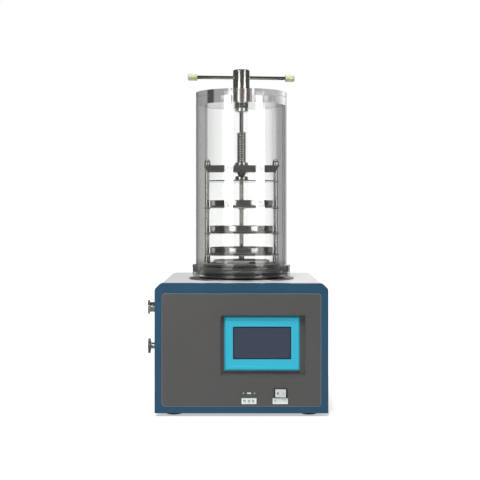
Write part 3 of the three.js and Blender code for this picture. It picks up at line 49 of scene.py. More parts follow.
bpy.context.scene.collection.objects.link(camera)
camera.location = ((front_low.x + front_high.x) / 2, front_low.y - CAMERA_AWAY, CAMERA_HEIGHT)
camera.rotation_euler = (math.pi / 2, 0, 0)
camera.data.lens = 82.3
camera.data.sensor_width = 36
camera.data.shift_x = -0.003
camera.data.shift_y = -0.052
bpy.context.scene.camera = camera
bpy.context.scene.view_settings.view_transform = "Standard"


# ---- Floor and studio ----
# White paper lies under the machine in a white room, and soft lamps hang overhead and in front.
# Two tall strip lights and a grey tent round the front show only in glossy and clear surfaces.
def linear(code):
    """An sRGB hex colour as linear RGBA."""
    parts = [int(code[i : i + 2], 16) / 255 for i in (1, 3, 5)]
    return (*[c / 12.92 if c <= 0.04045 else ((c + 0.055) / 1.055) ** 2.4 for c in parts], 1)


def add_node(tree, kind, inputs=None, **settings):
    """Adds a node; an input is a value, or (node, output) for a link."""
    made = tree.nodes.new(kind)
    for name, value in settings.items():
        setattr(made, name, value)
    for name, value in (inputs or {}).items():
        if isinstance(value, tuple) and isinstance(value[0], bpy.types.Node):
            tree.links.new(value[0].outputs[value[1]], made.inputs[name])
        else:
            made.inputs[name].default_value = value
    return made


def new_material(name):
    """An empty material and its node tree."""
    material = bpy.data.materials.new(name)
    material.use_nodes = True
    material.node_tree.nodes.clear()
    return material, material.node_tree


def start(primitive, name, **where):
    """Adds a primitive with nothing else selected, and puts its place in its mesh."""
    bpy.ops.object.select_all(action="DESELECT")
    primitive(**where)
    bpy.ops.object.transform_apply(location=True, rotation=True, scale=True)
    piece = bpy.context.object
    piece.name = name
    return piece


def trace(name, points):
    """A line of edges through points in metres, left selected and in edit mode."""
    piece = start(bpy.ops.mesh.primitive_plane_add, name, size=0.0001, location=points[0])
    bpy.ops.object.mode_set(mode="EDIT")
    bpy.ops.mesh.select_mode(type="VERT")
    bpy.ops.mesh.select_all(action="SELECT")
    bpy.ops.mesh.merge(type="CENTER")
    for here, there in zip(points, points[1:]):
        bpy.ops.mesh.extrude_vertices_move(TRANSFORM_OT_translate={
            "value": [b - a for a, b in zip(here, there)]})
    bpy.ops.mesh.select_all(action="SELECT")
    return piece


def middle(node):
    """The middle of a node's box, seen from above, in metres."""
    low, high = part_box(node)
    return ((low.x + high.x) / 2, (low.y + high.y) / 2)


world = bpy.data.worlds.new("studio")
bpy.context.scene.world = world
world.use_nodes = True
tree = world.node_tree
tree.nodes.clear()
AMBIENT = 0.25  # the room's light on the object, where 1 is how white the room looks
path = add_node(tree, "ShaderNodeLightPath")
seen = add_node(tree, "ShaderNodeMath", {0: (path, "Is Camera Ray"), 1: (path, "Is Glossy Ray")},
                operation="MAXIMUM")
seen = add_node(tree, "ShaderNodeMath", {0: (seen, 0), 1: (path, "Is Transmission Ray")},
                operation="MAXIMUM")
level = add_node(tree, "ShaderNodeMath", {0: (seen, 0), 1: 1 - AMBIENT, 2: AMBIENT},
                 operation="MULTIPLY_ADD")
sky = add_node(tree, "ShaderNodeBackground", {"Color": (1, 1, 1, 1), "Strength": (level, 0)})
add_node(tree, "ShaderNodeOutputWorld", {"Surface": (sky, 0)})

PAPER_GLOW = 0.5  # added to the lit paper where the camera sees it, so that it is white
floor = start(bpy.ops.mesh.primitive_plane_add, "floor", size=16)
paper, tree = new_material("white_paper")
path = add_node(tree, "ShaderNodeLightPath")
lift = add_node(tree, "ShaderNodeMath", {0: (path, "Is Camera Ray"), 1: PAPER_GLOW},
                operation="MULTIPLY")
matt = add_node(tree, "ShaderNodeBsdfDiffuse", {"Color": linear("#dcdcdc")})
glow = add_node(tree, "ShaderNodeEmission", {"Color": (1, 1, 1, 1), "Strength": (lift, 0)})
both = add_node(tree, "ShaderNodeAddShader", {0: (matt, 0), 1: (glow, 0)})
add_node(tree, "ShaderNodeOutputMaterial", {"Surface": (both, 0)})
floor.data.materials.append(paper)

for name, toward, strength, spread in (
    ("key_lamp", (-0.12, -0.4, 0.908), 3.0, 16),
    ("fill_lamp", (0.50, -0.72, 0.48), 0.25, 50),
):
    data = bpy.data.lights.new(name, "SUN")
    data.energy = strength
    data.angle = math.radians(spread)
    lamp = bpy.data.objects.new(name, data)
    bpy.context.scene.collection.objects.link(lamp)
    lamp.rotation_euler = Vector(toward).to_track_quat("Z", "Y").to_euler()
    lamp.visible_glossy = False
    lamp.visible_transmission = False


def curved_card(name, radius, from_angle, to_angle, bottom, top, centre=(0, 0)):
    """A card bent round the machine that only glossy and clear surfaces see.
    Its angles are degrees to the right of straight in front."""
    first = math.radians(from_angle)
    corner = (centre[0] + radius * math.sin(first), centre[1] - radius * math.cos(first))
    card = trace(name, [(*corner, bottom), (*corner, top)])
    bpy.ops.mesh.spin(steps=36, angle=-math.radians(to_angle - from_angle), center=(*centre, 0),
                      axis=(0, 0, 1))
    bpy.ops.object.mode_set(mode="OBJECT")
    card.visible_camera = False
    card.visible_diffuse = False
    card.visible_shadow = False
    return card


def card_light(name, low_mirrored, high_mirrored, top_mirrored, through_glass):
    """Light from a card: how strongly its lower, upper and top parts show in a bare mirror, and how
    strongly it shows in a mirror behind clear glass. Straight through glass it is plain white.
    The upper part starts at about 0.5 m, and the top, which the lid and the handle show, at 1 m."""
    material, tree = new_material(name)
    where = add_node(tree, "ShaderNodeTexCoord")
    split = add_node(tree, "ShaderNodeSeparateXYZ", {0: (where, "Object")})
    mirrored = add_node(tree, "ShaderNodeMapRange", {
        "Value": (split, 2), "From Min": 0.48, "From Max": 0.58, "To Min": low_mirrored,
        "To Max": high_mirrored})
    above = add_node(tree, "ShaderNodeMapRange", {"Value": (split, 2), "From Min": 1.0, "From Max": 1.11})
    mirrored = add_node(tree, "ShaderNodeMix", {0: (above, 0), 2: (mirrored, 0), 3: top_mirrored})
    path = add_node(tree, "ShaderNodeLightPath")
    glass = add_node(tree, "ShaderNodeMath", {0: (path, "Transmission Depth"), 1: 0.5},
                     operation="GREATER_THAN")
    mirror = add_node(tree, "ShaderNodeMath", {0: (path, "Glossy Depth"), 1: 0.5}, operation="GREATER_THAN")
    level = add_node(tree, "ShaderNodeMix", {0: (glass, 0), 2: (mirrored, 0), 3: through_glass})
    level = add_node(tree, "ShaderNodeMix", {0: (mirror, 0), 2: 1.0, 3: (level, 0)})
    glow = add_node(tree, "ShaderNodeEmission", {"Strength": (level, 0)})
    add_node(tree, "ShaderNodeOutputMaterial", {"Surface": (glow, 0)})
    material.cycles.emission_sampling = "NONE"
    return material


curved_card("strip_left", 2.0, -41, -19, 0.3, 1.6).data.materials.append(
    card_light("strip_light_left", 2.5, 20, 1, 3))
curved_card("strip_right", 2.0, 35, 57, 0.3, 1.6).data.materials.append(
    card_light("strip_light_right", 2.5, 20, 1, 3))
front_cloth = card_light("grey_front_cloth", 0.15, 0.15, 0.15, 0.17)
side_cloth = card_light("grey_side_cloth", 0.13, 0.13, 0.13, 0.08)
for name, radius, first, last, cloth in (
    ("tent_front", 2.6, -50, 50, front_cloth), ("tent_left", 2.62, -177, -45, side_cloth),
    ("tent_right", 2.62, 45, 140, side_cloth),
):
    curved_card(name, radius, first, last, 0, 3).data.materials.append(cloth)
for name, height, size, bright in (("tent_roof", 3, 6, 0.08), ("tent_table", 0.002, 5.4, 0.32)):
    flat = start(bpy.ops.mesh.primitive_plane_add, name, size=size, location=(0, 0, height))
    flat.visible_camera = flat.visible_diffuse = flat.visible_shadow = flat.visible_transmission = False
    flat.data.materials.append(card_light(name + "_cloth", bright, bright, bright, bright))

# Behind the machine hangs a white sheet between grey curtains, with a window far to the left and a
# dark doorway to the right, whose darkness is painted shade. Only what is seen through the jar shows them.
AXIS = middle("chamber_tube")
room = curved_card("room_behind", 2.3, 110, 250, 0, 3, AXIS)
room.visible_glossy = False
cloth, tree = new_material("room_behind")
where = add_node(tree, "ShaderNodeTexCoord")
where = add_node(tree, "ShaderNodeMapping", {
    "Vector": (where, "Object"), "Location": (-AXIS[0], -AXIS[1], 0)})
split = add_node(tree, "ShaderNodeSeparateXYZ", {0: (where, 0)})
angle = add_node(tree, "ShaderNodeMath", {0: (split, 0), 1: (split, 1)}, operation="ARCTAN2")
ROOM = 70  # degrees either side of straight behind
share = add_node(tree, "ShaderNodeMapRange", {
    "Value": (angle, 0), "From Min": -math.radians(ROOM), "From Max": math.radians(ROOM)})
# The curtain's dark gap and the doorway are painted shade, and so is the sheet's fall from white.
WINDOW, CURTAIN, GAP_SHADE, DOORWAY_SHADE = 0.95, 0.32, 0.2, 0.06  # how bright each is, where white is 1
WINDOW_LEFT, WINDOW_RIGHT, DOOR_LEFT, DOOR_RIGHT, EDGE = -64, -38, 23.5, 33, 1
ramps = []
# The sheet's angles and brightness, as seen through the tube's upper part, its lower part and the
# lid. It is whitest in the middle and falls off to its sides in painted shade, and left of it the lid
# also shows a dark gap in the curtain, a painted shadow.
for sheet in (
    ((-9.5, 0.75), (-3, 1), (4.5, 1), (7, 0.85), (11, 0.4)),
    ((-9, 1), (6.5, 1), (9.5, 0.7)),
    ((-32, GAP_SHADE), (-24.5, GAP_SHADE), (-20, 0.6), (-11, 0.6), (-3, 0.95), (4, 1), (15.5, 0.6)),
):
    stops = ((WINDOW_LEFT, WINDOW), (WINDOW_RIGHT, CURTAIN), (sheet[0][0] - EDGE, CURTAIN), *sheet,
             (sheet[-1][0] + EDGE, CURTAIN), (DOOR_LEFT - EDGE, CURTAIN), (DOOR_LEFT + EDGE, DOORWAY_SHADE),
             (DOOR_RIGHT - EDGE, DOORWAY_SHADE), (DOOR_RIGHT + EDGE, CURTAIN))
    ramp = add_node(tree, "ShaderNodeValToRGB", {0: (share, 0)})
    marks = ramp.color_ramp.elements
    while len(marks) < len(stops):
        marks.new(0.5)
    for mark, (degrees, bright) in zip(marks, stops):
        mark.position = (degrees + ROOM) / (2 * ROOM)
        mark.color = (bright, bright, bright, 1)
    ramps.append(ramp)
upper, lower, lid = ramps
# In metres up the card: where the floor's shade ends, and where one view gives way to the next.
SHADE_END, LOWER_END, TUBE_END = (0.26, 0.32), (0.62, 0.76), (1.08, 1.1)
height = add_node(tree, "ShaderNodeMapRange", {
    "Value": (split, 2), "From Min": LOWER_END[0], "From Max": LOWER_END[1]})
tone = add_node(tree, "ShaderNodeMix", {0: (height, 0), 6: (lower, 0), 7: (upper, 0)}, data_type="RGBA")
height = add_node(tree, "ShaderNodeMapRange", {
    "Value": (split, 2), "From Min": TUBE_END[0], "From Max": TUBE_END[1]})
tone = add_node(tree, "ShaderNodeMix", {0: (height, 0), 6: (tone, 2), 7: (lid, 0)}, data_type="RGBA")
shade = add_node(tree, "ShaderNodeMapRange", {
    "Value": (split, 2), "From Min": SHADE_END[0], "From Max": SHADE_END[1], "To Min": 0.2, "To Max": 1.15})
glow = add_node(tree, "ShaderNodeEmission", {"Color": (tone, 2), "Strength": (shade, 0)})
add_node(tree, "ShaderNodeOutputMaterial", {"Surface": (glow, 0)})
cloth.cycles.emission_sampling = "NONE"
room.data.materials.append(cloth)


# ---- Feet ----
# Four moulded rubber feet, each a low puck with a recess underneath for the screw that holds it to the base
# tray.
# Moulded rubber is nearly black and dull, with a faint grain from the mould.
MM = 0.001


def close_up():
    """Faces the whole mesh outwards and leaves edit mode."""
    bpy.ops.mesh.select_all(action="SELECT")
    bpy.ops.mesh.normals_make_consistent(inside=False)
    bpy.ops.object.mode_set(mode="OBJECT")


def turn(name, profile, centre=(0, 0), steps=96, base=0):
    """A turned piece: its profile is radius and height over the base, in mm, spun about an
    upright axis."""
    piece = trace(name, [(centre[0] + radius * MM, centre[1], (base + height) * MM)
                         for radius, height in profile])
    bpy.ops.mesh.spin(steps=steps, angle=2 * math.pi, center=(*centre, 0), axis=(0, 0, 1))
    bpy.ops.mesh.select_all(action="SELECT")
    bpy.ops.mesh.remove_doubles(threshold=1e-5)
    close_up()
    return piece


def pick(piece):
    """Selects one piece alone."""
    bpy.ops.object.select_all(action="DESELECT")
    piece.select_set(True)
    bpy.context.view_layer.objects.active = piece


def add_bevel(piece, edge, segments, sharp):
    """A bevel of so many mm on every edge sharper than so many degrees."""
    bevel = piece.modifiers.new("edges", "BEVEL")
    bevel.width = edge * MM
    bevel.segments = segments
    bevel.limit_method = "ANGLE"
    bevel.angle_limit = math.radians(sharp)


def soften(piece, edge, segments=2, sharp=30):
    """Rounds the piece's edges by so many mm, and shades what is smooth."""
    pick(piece)
    if edge:
        add_bevel(piece, edge, segments, sharp)
        bpy.ops.object.modifier_apply(modifier="edges")
    bpy.ops.object.shade_smooth_by_angle(angle=math.radians(sharp))
    piece.modifiers.new("flat_faces", "WEIGHTED_NORMAL").keep_sharp = True
    bpy.ops.object.modifier_apply(modifier="flat_faces")
    return piece


def fit(piece, body, slot, material, *stands_for):
    """Gives a finished piece its material and its body, and hides the solids that it stands for; the slot
    is not used.
    """
    piece.data.materials.clear()
    piece.data.materials.append(material)
    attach(piece, body)
    if stands_for:
        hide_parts(*stands_for)
    return piece


def move(piece, matrix):
    """Moves and turns a piece, and keeps its place in its mesh."""
    pick(piece)
    piece.matrix_world = matrix
    bpy.ops.object.transform_apply(location=True, rotation=True, scale=True)


def moulded(name, color, low, high, pitch, depth=0.05, soft=0.0):
    """A moulded plastic or rubber with the mould's grain: pitch and depth in mm, roughness
    from low to high, and how much light goes into it."""
    material, tree = new_material(name)
    where = add_node(tree, "ShaderNodeTexCoord")
    grain = add_node(tree, "ShaderNodeTexNoise", {
        "Vector": (where, "Object"), "Scale": 1 / (pitch * MM), "Detail": 3})
    gloss = add_node(tree, "ShaderNodeMapRange", {"Value": (grain, 0), "To Min": low, "To Max": high})
    bump = add_node(tree, "ShaderNodeBump", {"Height": (grain, 0), "Strength": 0.2, "Distance": depth * MM})
    shader = add_node(tree, "ShaderNodeBsdfPrincipled", {
        "Base Color": linear(color), "Roughness": (gloss, 0), "IOR": 1.53, "Normal": (bump, 0),
        "Subsurface Weight": soft, "Subsurface Scale": 2 * MM})
    add_node(tree, "ShaderNodeOutputMaterial", {"Surface": (shader, 0)})
    return material


rubber = moulded("moulded_rubber", "#1b1e1e", 0.5, 0.7, 0.8, 0.1)

FOOT = 21.5  # radius
for corner in ("front_left", "front_right", "rear_left", "rear_right"):
    foot = turn("rubber_foot_" + corner, [
        (0, 3.5), (4.5, 3.5), (4.5, 0.8), (5.3, 0), (FOOT - 2, 0), (FOOT, 2), (FOOT, 6.5),
        (FOOT - 1.5, 8.7), (0, 8.7)], middle("foot_" + corner), 64)
    fit(soften(foot, 0.5), "cabinet_and_frame", "black_rubber", rubber, "foot_" + corner)


# ---- Cabinet ----
# A folded base tray, a cover bent over the sides and top, and a rear panel, all of sheet steel
# in pale grey powder paint. A blue frame of bent section closes the front edge.
def dress(node, material, edge=0.6):
    """Gives a solid its finish, and rounds its edges by so many mm."""
    piece = nodes[node]
    piece.data.materials.clear()
    piece.data.materials.append(material)
    weld = piece.modifiers.new("weld", "WELD")
    weld.merge_threshold = 1e-6
    if edge:
        add_bevel(piece, edge, 2, 40)
        piece.modifiers.new("flat_faces", "WEIGHTED_NORMAL").keep_sharp = True


def powder_paint(name, color, deep, low, high):
    """Powder paint: an orange-peel skin of 1.5 mm pitch, faintly mottled, half glossy."""
    material, tree = new_material(name)
    where = add_node(tree, "ShaderNodeTexCoord")
    peel = add_node(tree, "ShaderNodeTexNoise", {
        "Vector": (where, "Object"), "Scale": 1 / (1.5 * MM), "Detail": 2})
    cloud = add_node(tree, "ShaderNodeTexNoise", {
        "Vector": (where, "Object"), "Scale": 1 / (120 * MM), "Detail": 3})
    tint = add_node(tree, "ShaderNodeMix", {0: (cloud, 0), 6: linear(color), 7: linear(deep)},
                    data_type="RGBA")
    gloss = add_node(tree, "ShaderNodeMapRange", {"Value": (peel, 0), "To Min": low, "To Max": high})
    bump = add_node(tree, "ShaderNodeBump", {"Height": (peel, 0), "Strength": 0.25, "Distance": 0.1 * MM})
    shader = add_node(tree, "ShaderNodeBsdfPrincipled", {
        "Base Color": (tint, 2), "Roughness": (gloss, 0), "IOR": 1.5, "Normal": (bump, 0)})
    add_node(tree, "ShaderNodeOutputMaterial", {"Surface": (shader, 0)})
    return material


grey_paint = powder_paint("pale_grey_powder_paint", "#dfdfde", "#d7d7d8", 0.35, 0.5)
blue_paint = powder_paint("blue_powder_paint", "#2c5775", "#274c63", 0.2, 0.3)
for node in ("base_tray", "wrap_cover", "rear_panel"):
    dress(node, grey_paint)
dress("front_frame", blue_paint, 1.2)


# ---- Front panel ----
# A dark grey painted panel drops into the frame, and a pressed pocket behind it takes the
# controller. Satin paint with a fine grain, and a painted highlight: a thin pale line along the panel's
# outer edge.
panel_paint, tree = new_material("satin_grey_paint")
where = add_node(tree, "ShaderNodeTexCoord")
fine = add_node(tree, "ShaderNodeTexNoise", {
    "Vector": (where, "Object"), "Scale": 1 / (1.2 * MM), "Detail": 2})
cloud = add_node(tree, "ShaderNodeTexNoise", {
    "Vector": (where, "Object"), "Scale": 1 / (150 * MM), "Detail": 2})
tint = add_node(tree, "ShaderNodeMix", {0: (cloud, 0), 6: linear("#5a5958"), 7: linear("#51504f")},
                data_type="RGBA")
panel_low, panel_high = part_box("front_panel")
PANEL_LIP, PANEL_CORNER = 6, 9  # mm that lie behind the frame, and the radius of the corners
PANEL_HIGHLIGHT_WIDTH = 1.7  # mm, the width of the painted highlight
half = (panel_high - panel_low) / 2 - Vector((1, 0, 1)) * (PANEL_LIP + PANEL_CORNER) * MM
centred = add_node(tree, "ShaderNodeMapping", {
    "Vector": (where, "Object"), "Location": tuple(-(panel_low + panel_high) / 2)})
outward = add_node(tree, "ShaderNodeVectorMath", {0: (centred, 0)}, operation="ABSOLUTE")
outward = add_node(tree, "ShaderNodeVectorMath", {0: (outward, 0), 1: (half.x, 1, half.z)},
                   operation="SUBTRACT")
outward = add_node(tree, "ShaderNodeVectorMath", {0: (outward, 0), 1: (0, 0, 0)}, operation="MAXIMUM")
reach = add_node(tree, "ShaderNodeVectorMath", {0: (outward, 0)}, operation="LENGTH")
# painted highlight: the paint turns pale in a thin line along the panel's rounded outer edge
painted_edge_highlight = add_node(tree, "ShaderNodeMapRange", {
    "Value": (reach, "Value"), "From Min": (PANEL_CORNER - PANEL_HIGHLIGHT_WIDTH - 0.6) * MM,
    "From Max": (PANEL_CORNER - PANEL_HIGHLIGHT_WIDTH + 0.4) * MM, "To Max": 0.8})
tint = add_node(tree, "ShaderNodeMix", {0: (painted_edge_highlight, 0), 6: (tint, 2), 7: linear("#80848c")}, data_type="RGBA")
gloss = add_node(tree, "ShaderNodeMapRange", {"Value": (fine, 0), "To Min": 0.3, "To Max": 0.4})
bump = add_node(tree, "ShaderNodeBump", {"Height": (fine, 0), "Strength": 0.2, "Distance": 0.08 * MM})
shader = add_node(tree, "ShaderNodeBsdfPrincipled", {
    "Base Color": (tint, 2), "Roughness": (gloss, 0), "IOR": 1.5, "Normal": (bump, 0)})
add_node(tree, "ShaderNodeOutputMaterial", {"Surface": (shader, 0)})
dress("front_panel", panel_paint, 1.2)
dress("screen_pocket", powder_paint("dark_grey_powder_paint", "#5a5958", "#525150", 0.35, 0.45), 0.4)


# ---- Controller ----
# A touch controller clipped into the pocket: a moulded ABS bezel in turquoise with a sloped
# edge and a fine step, and a dark display behind glass.
teal = moulded("moulded_abs_turquoise", "#33bcd8", 0.3, 0.42, 0.7)


def choose(piece, way):
    """Goes into edit mode with only the largest face that looks this way selected."""
    bpy.ops.object.mode_set(mode="OBJECT")
    faces = [f for f in piece.data.polygons if f.normal.dot(Vector(way)) > 0.99]
    for group in (piece.data.vertices, piece.data.edges, piece.data.polygons):
        group.foreach_set("select", [False] * len(group))
    max(faces, key=lambda f: f.area).select = True
    bpy.ops.object.mode_set(mode="EDIT")
    bpy.ops.mesh.select_mode(type="FACE")


def push(x, y, z):
    """Extrudes what is selected by so many metres."""
    bpy.ops.mesh.extrude_region_move(TRANSFORM_OT_translate={"value": (x, y, z)})


def stretch(factors, about):
    """Scales what is selected along x, y and z about a point."""
    bpy.ops.transform.resize(value=factors, center_override=about)


# It hangs a little to the left in its opening, and high.
HANG_LEFT, BOTTOM_UP, TOP_UP, GLASS_UP = 2.4, 1.5, 3.5, 3.4  # mm
low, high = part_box("screen_housing")
low += Vector((-HANG_LEFT, 0, BOTTOM_UP)) * MM
high += Vector((-HANG_LEFT, 0, TOP_UP)) * MM
BEZEL_SLOPE = 4  # mm, how far the sloped edge runs in and back
BEZEL_LAND, BEZEL_STEP, BEZEL_BACK = 7.1, 1.1, 6
GLASS_GAP, LIP_WIDTH, LIP_DEPTH = 0.3, 0.8, 0.5  # round the glass
BODY_INSET = 9
face_y = low.y + BEZEL_SLOPE * MM
back_y = low.y + BEZEL_BACK * MM
bezel = start(bpy.ops.mesh.primitive_cube_add, "controller_bezel", size=1,
              location=((low.x + high.x) / 2, (face_y + back_y) / 2, (low.z + high.z) / 2),
              scale=(high.x - low.x, back_y - face_y, high.z - low.z))
choose(bezel, (0, -1, 0))
bpy.ops.mesh.inset(thickness=BEZEL_SLOPE * MM, depth=BEZEL_SLOPE * MM)
bpy.ops.mesh.inset(thickness=BEZEL_LAND * MM, depth=0)
bpy.ops.mesh.inset(thickness=BEZEL_STEP * MM, depth=-BEZEL_STEP * MM)
glass_low, glass_high = (corner + Vector((-HANG_LEFT, 0, GLASS_UP)) * MM
                         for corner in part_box("screen_glass"))
window_x = (glass_high.x - glass_low.x) / 2 + GLASS_GAP * MM
window_z = (glass_high.z - glass_low.z) / 2 + GLASS_GAP * MM
land = (high.x - low.x) / 2 - window_x - (BEZEL_SLOPE + BEZEL_LAND + BEZEL_STEP + LIP_WIDTH) * MM
bpy.ops.mesh.inset(thickness=land, depth=0)
tall = (high.z - low.z) / 2 - (BEZEL_SLOPE + BEZEL_LAND + BEZEL_STEP) * MM - land
stretch((1, 1, (window_z + LIP_WIDTH * MM) / tall), (0, 0, (low.z + high.z) / 2))
bpy.ops.transform.translate(value=(0, 0, (glass_low.z + glass_high.z - low.z - high.z) / 2))
bpy.ops.mesh.inset(thickness=LIP_WIDTH * MM, depth=-LIP_DEPTH * MM)
push(0, glass_high.y + GLASS_GAP * MM - low.y - (BEZEL_STEP + LIP_DEPTH) * MM, 0)
choose(bezel, (0, 1, 0))
bpy.ops.mesh.inset(thickness=BODY_INSET * MM, depth=0)
push(0, high.y - back_y, 0)
bpy.ops.object.mode_set(mode="OBJECT")
fit(soften(bezel, 0.35), "cabinet_and_frame", "teal_plastic", teal, "screen_housing")

# Smooth glass over a blue-black display with a darker border.
DISPLAY_BORDER = 2.5  # mm
display, tree = new_material("dark_display_under_glass")
where = add_node(tree, "ShaderNodeTexCoord")
across = add_node(tree, "ShaderNodeMapping", {
    "Vector": (where, "Object"),
    "Location": (-(glass_low.x + glass_high.x) / 2, 0, -(glass_low.z + glass_high.z) / 2)})
split = add_node(tree, "ShaderNodeSeparateXYZ", {0: (across, 0)})
side = add_node(tree, "ShaderNodeMath", {0: (split, 0)}, operation="ABSOLUTE")
rise = add_node(tree, "ShaderNodeMath", {0: (split, 2)}, operation="ABSOLUTE")
side = add_node(tree, "ShaderNodeMath", {
    0: (side, 0), 1: (glass_high.x - glass_low.x) / 2 - DISPLAY_BORDER * MM}, operation="GREATER_THAN")
rise = add_node(tree, "ShaderNodeMath", {
    0: (rise, 0), 1: (glass_high.z - glass_low.z) / 2 - DISPLAY_BORDER * MM}, operation="GREATER_THAN")
mask = add_node(tree, "ShaderNodeMath", {0: (side, 0), 1: (rise, 0)}, operation="MAXIMUM")
tint = add_node(tree, "ShaderNodeMix", {0: (mask, 0), 6: linear("#3f4657"), 7: linear("#22272f")},
                data_type="RGBA")
shader = add_node(tree, "ShaderNodeBsdfPrincipled", {
    "Base Color": (tint, 2), "Roughness": 0.12, "IOR": 1.45})
add_node(tree, "ShaderNodeOutputMaterial", {"Surface": (shader, 0)})
pane = start(bpy.ops.mesh.primitive_cube_add, "display_pane", size=1,
             location=(glass_low + glass_high) / 2, scale=glass_high - glass_low)
fit(soften(pane, 0.3), "cabinet_and_frame", "screen_glass", display, "screen_glass")


# ---- Data socket ----
# A socket for a memory stick: a pressed steel shell round a pale tongue, held behind the panel
# by two small screws, with a plain white label plate under it.
def metal(name, color, low, high, pitch, lay):
    """A bare metal with the marks of how it was cut: pitch is their spacing in mm, and lay
    how far each runs along x, y and z, in pitches."""
    material, tree = new_material(name)
    where = add_node(tree, "ShaderNodeTexCoord")
    along = add_node(tree, "ShaderNodeMapping", {
        "Vector": (where, "Object"), "Scale": tuple(1 / run for run in lay)})
    marks = add_node(tree, "ShaderNodeTexNoise", {
        "Vector": (along, 0), "Scale": 1 / (pitch * MM), "Detail": 3})
    gloss = add_node(tree, "ShaderNodeMapRange", {"Value": (marks, 0), "To Min": low, "To Max": high})
    bump = add_node(tree, "ShaderNodeBump", {
        "Height": (marks, 0), "Strength": 0.05, "Distance": 0.02 * MM})
    shader = add_node(tree, "ShaderNodeBsdfPrincipled", {
        "Base Color": linear(color), "Metallic": 1, "Roughness": (gloss, 0), "Normal": (bump, 0)})
    add_node(tree, "ShaderNodeOutputMaterial", {"Surface": (shader, 0)})
    return material


# Nickel plate shines softly and is faintly warm. Blasting leaves steel pale and matt.
plated_steel = metal("nickel_plated_steel", "#bdbcb8", 0.2, 0.32, 1.0, (1, 1, 1))
steel_blasted = metal("bead_blasted_stainless_steel", "#d6d5cf", 0.5, 0.62, 0.6, (1, 1, 1))
dress("data_socket", plated_steel, 0.2)
socket_low, socket_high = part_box("data_socket")
SOCKET_X, SOCKET_Z = (socket_low.x + socket_high.x) / 2, (socket_low.z + socket_high.z) / 2

# White nylon lets a little light in at its edges, and the ink is a flat dark grey.
white_plastic = moulded("white_moulded_nylon", "#eceeec", 0.4, 0.55, 0.6, 0.02, 0.1)
ink = moulded("dark_grey_ink", "#3c3e40", 0.5, 0.6, 0.4, 0.01)


def box_piece(name, low, high):
    """A block between two corners in metres, ready to be shaped."""
    size = [b - a for a, b in zip(low, high)]
    return start(bpy.ops.mesh.primitive_cube_add, name, size=1,
                 location=[(a + b) / 2 for a, b in zip(low, high)], scale=size)


def stand_out(piece, x, y, z):
    """Turns an upright piece so that it points forward, out of the panel."""
    move(piece, Matrix.Translation((x, y, z)) @ Matrix.Rotation(math.pi / 2, 4, "X"))


LABEL_Z = SOCKET_Z / MM - 20.7  # the height of both label plates' middles
LABEL_HEIGHT, LABEL_RIM, LABEL_PROUD, LABEL_SUNK = 15.6, 0.8, 0.5, 0.12
PLATE_FACE = panel_low.y - (LABEL_PROUD - LABEL_SUNK) * MM
INK_THICK = 0.08


def label_plate(name, x, width):
    """A stuck-on plate on the panel, with a slightly raised rim; its middle and width in mm."""
    plate = box_piece(
        name, ((x - width / 2) * MM, panel_low.y - LABEL_PROUD * MM, (LABEL_Z - LABEL_HEIGHT / 2) * MM),
        ((x + width / 2) * MM, panel_low.y - 0.02 * MM, (LABEL_Z + LABEL_HEIGHT / 2) * MM))
    choose(plate, (0, -1, 0))
    bpy.ops.mesh.inset(thickness=LABEL_RIM * MM, depth=0)
    bpy.ops.mesh.inset(thickness=0.15 * MM, depth=-LABEL_SUNK * MM)
    bpy.ops.object.mode_set(mode="OBJECT")
    fit(soften(plate, 0.12), "cabinet_and_frame", "panel_grey", white_plastic)


def ink_bar(name, x, z, width, height):
    """A flat bar of ink on a label plate; its middle and size in mm."""
    bar = box_piece(name, ((x - width / 2) * MM, PLATE_FACE - INK_THICK * MM, (z - height / 2) * MM),
                    ((x + width / 2) * MM, PLATE_FACE, (z + height / 2) * MM))
    fit(soften(bar, 0.02), "cabinet_and_frame", "panel_grey", ink)


# A memory stick, a plug and a socket, as plain outlines of four bars, and what marks each one.
label_plate("socket_label_plate", SOCKET_X / MM, 39.4)
ICON_WIDTH, ICON_HEIGHT, ICON_LINE = 5.6, 6.4, 0.9
for icon, x, head in (("stick", -12, 1.2), ("plug", 0, 0.2), ("socket", 11, 2.8)):
    at = SOCKET_X / MM + x
    ink_bar(f"icon_{icon}_left", at - 2.4, LABEL_Z, ICON_LINE, ICON_HEIGHT)
    ink_bar(f"icon_{icon}_right", at + 2.4, LABEL_Z, ICON_LINE, ICON_HEIGHT)
    ink_bar(f"icon_{icon}_foot", at, LABEL_Z - 2.8, ICON_WIDTH, ICON_LINE)
    ink_bar(f"icon_{icon}_head", at, LABEL_Z + head, ICON_WIDTH, ICON_LINE)
for sign, x, z, width, height in (
    ("icon_stick_tip", -12, 2.6, 2.8, 2), ("icon_plug_pin_left", -1.2, 1.8, 0.8, 2.4),
    ("icon_plug_pin_right", 1.2, 1.8, 0.8, 2.4), ("icon_socket_bar", 11, 0.6, 3.2, 1.2),
):
    ink_bar(sign, SOCKET_X / MM + x, LABEL_Z + z, width, height)

# The socket's tongue, in white nylon, stands in the middle of its shell.
tongue = box_piece("socket_tongue", (SOCKET_X - 5.3 * MM, panel_low.y + 0.3 * MM, SOCKET_Z - 1.9 * MM),
                   (SOCKET_X + 5.3 * MM, panel_low.y + 4.5 * MM, SOCKET_Z + 1.9 * MM))
fit(soften(tongue, 0.3), "cabinet_and_frame", "polished_steel", white_plastic)

SCREW_OUT = 14.5  # mm from the socket's middle
for side, name in ((-1, "left"), (1, "right")):
    head = turn("socket_screw_" + name, [
        (0, 0.5), (0.8, 0.5), (0.8, 1.1), (1.4, 1.0), (1.9, 0.6), (2.1, 0), (0, 0)], steps=24)
    stand_out(head, SOCKET_X + side * SCREW_OUT * MM, panel_low.y, SOCKET_Z)
    fit(soften(head, 0.1), "cabinet_and_frame", "polished_steel", steel_blasted)


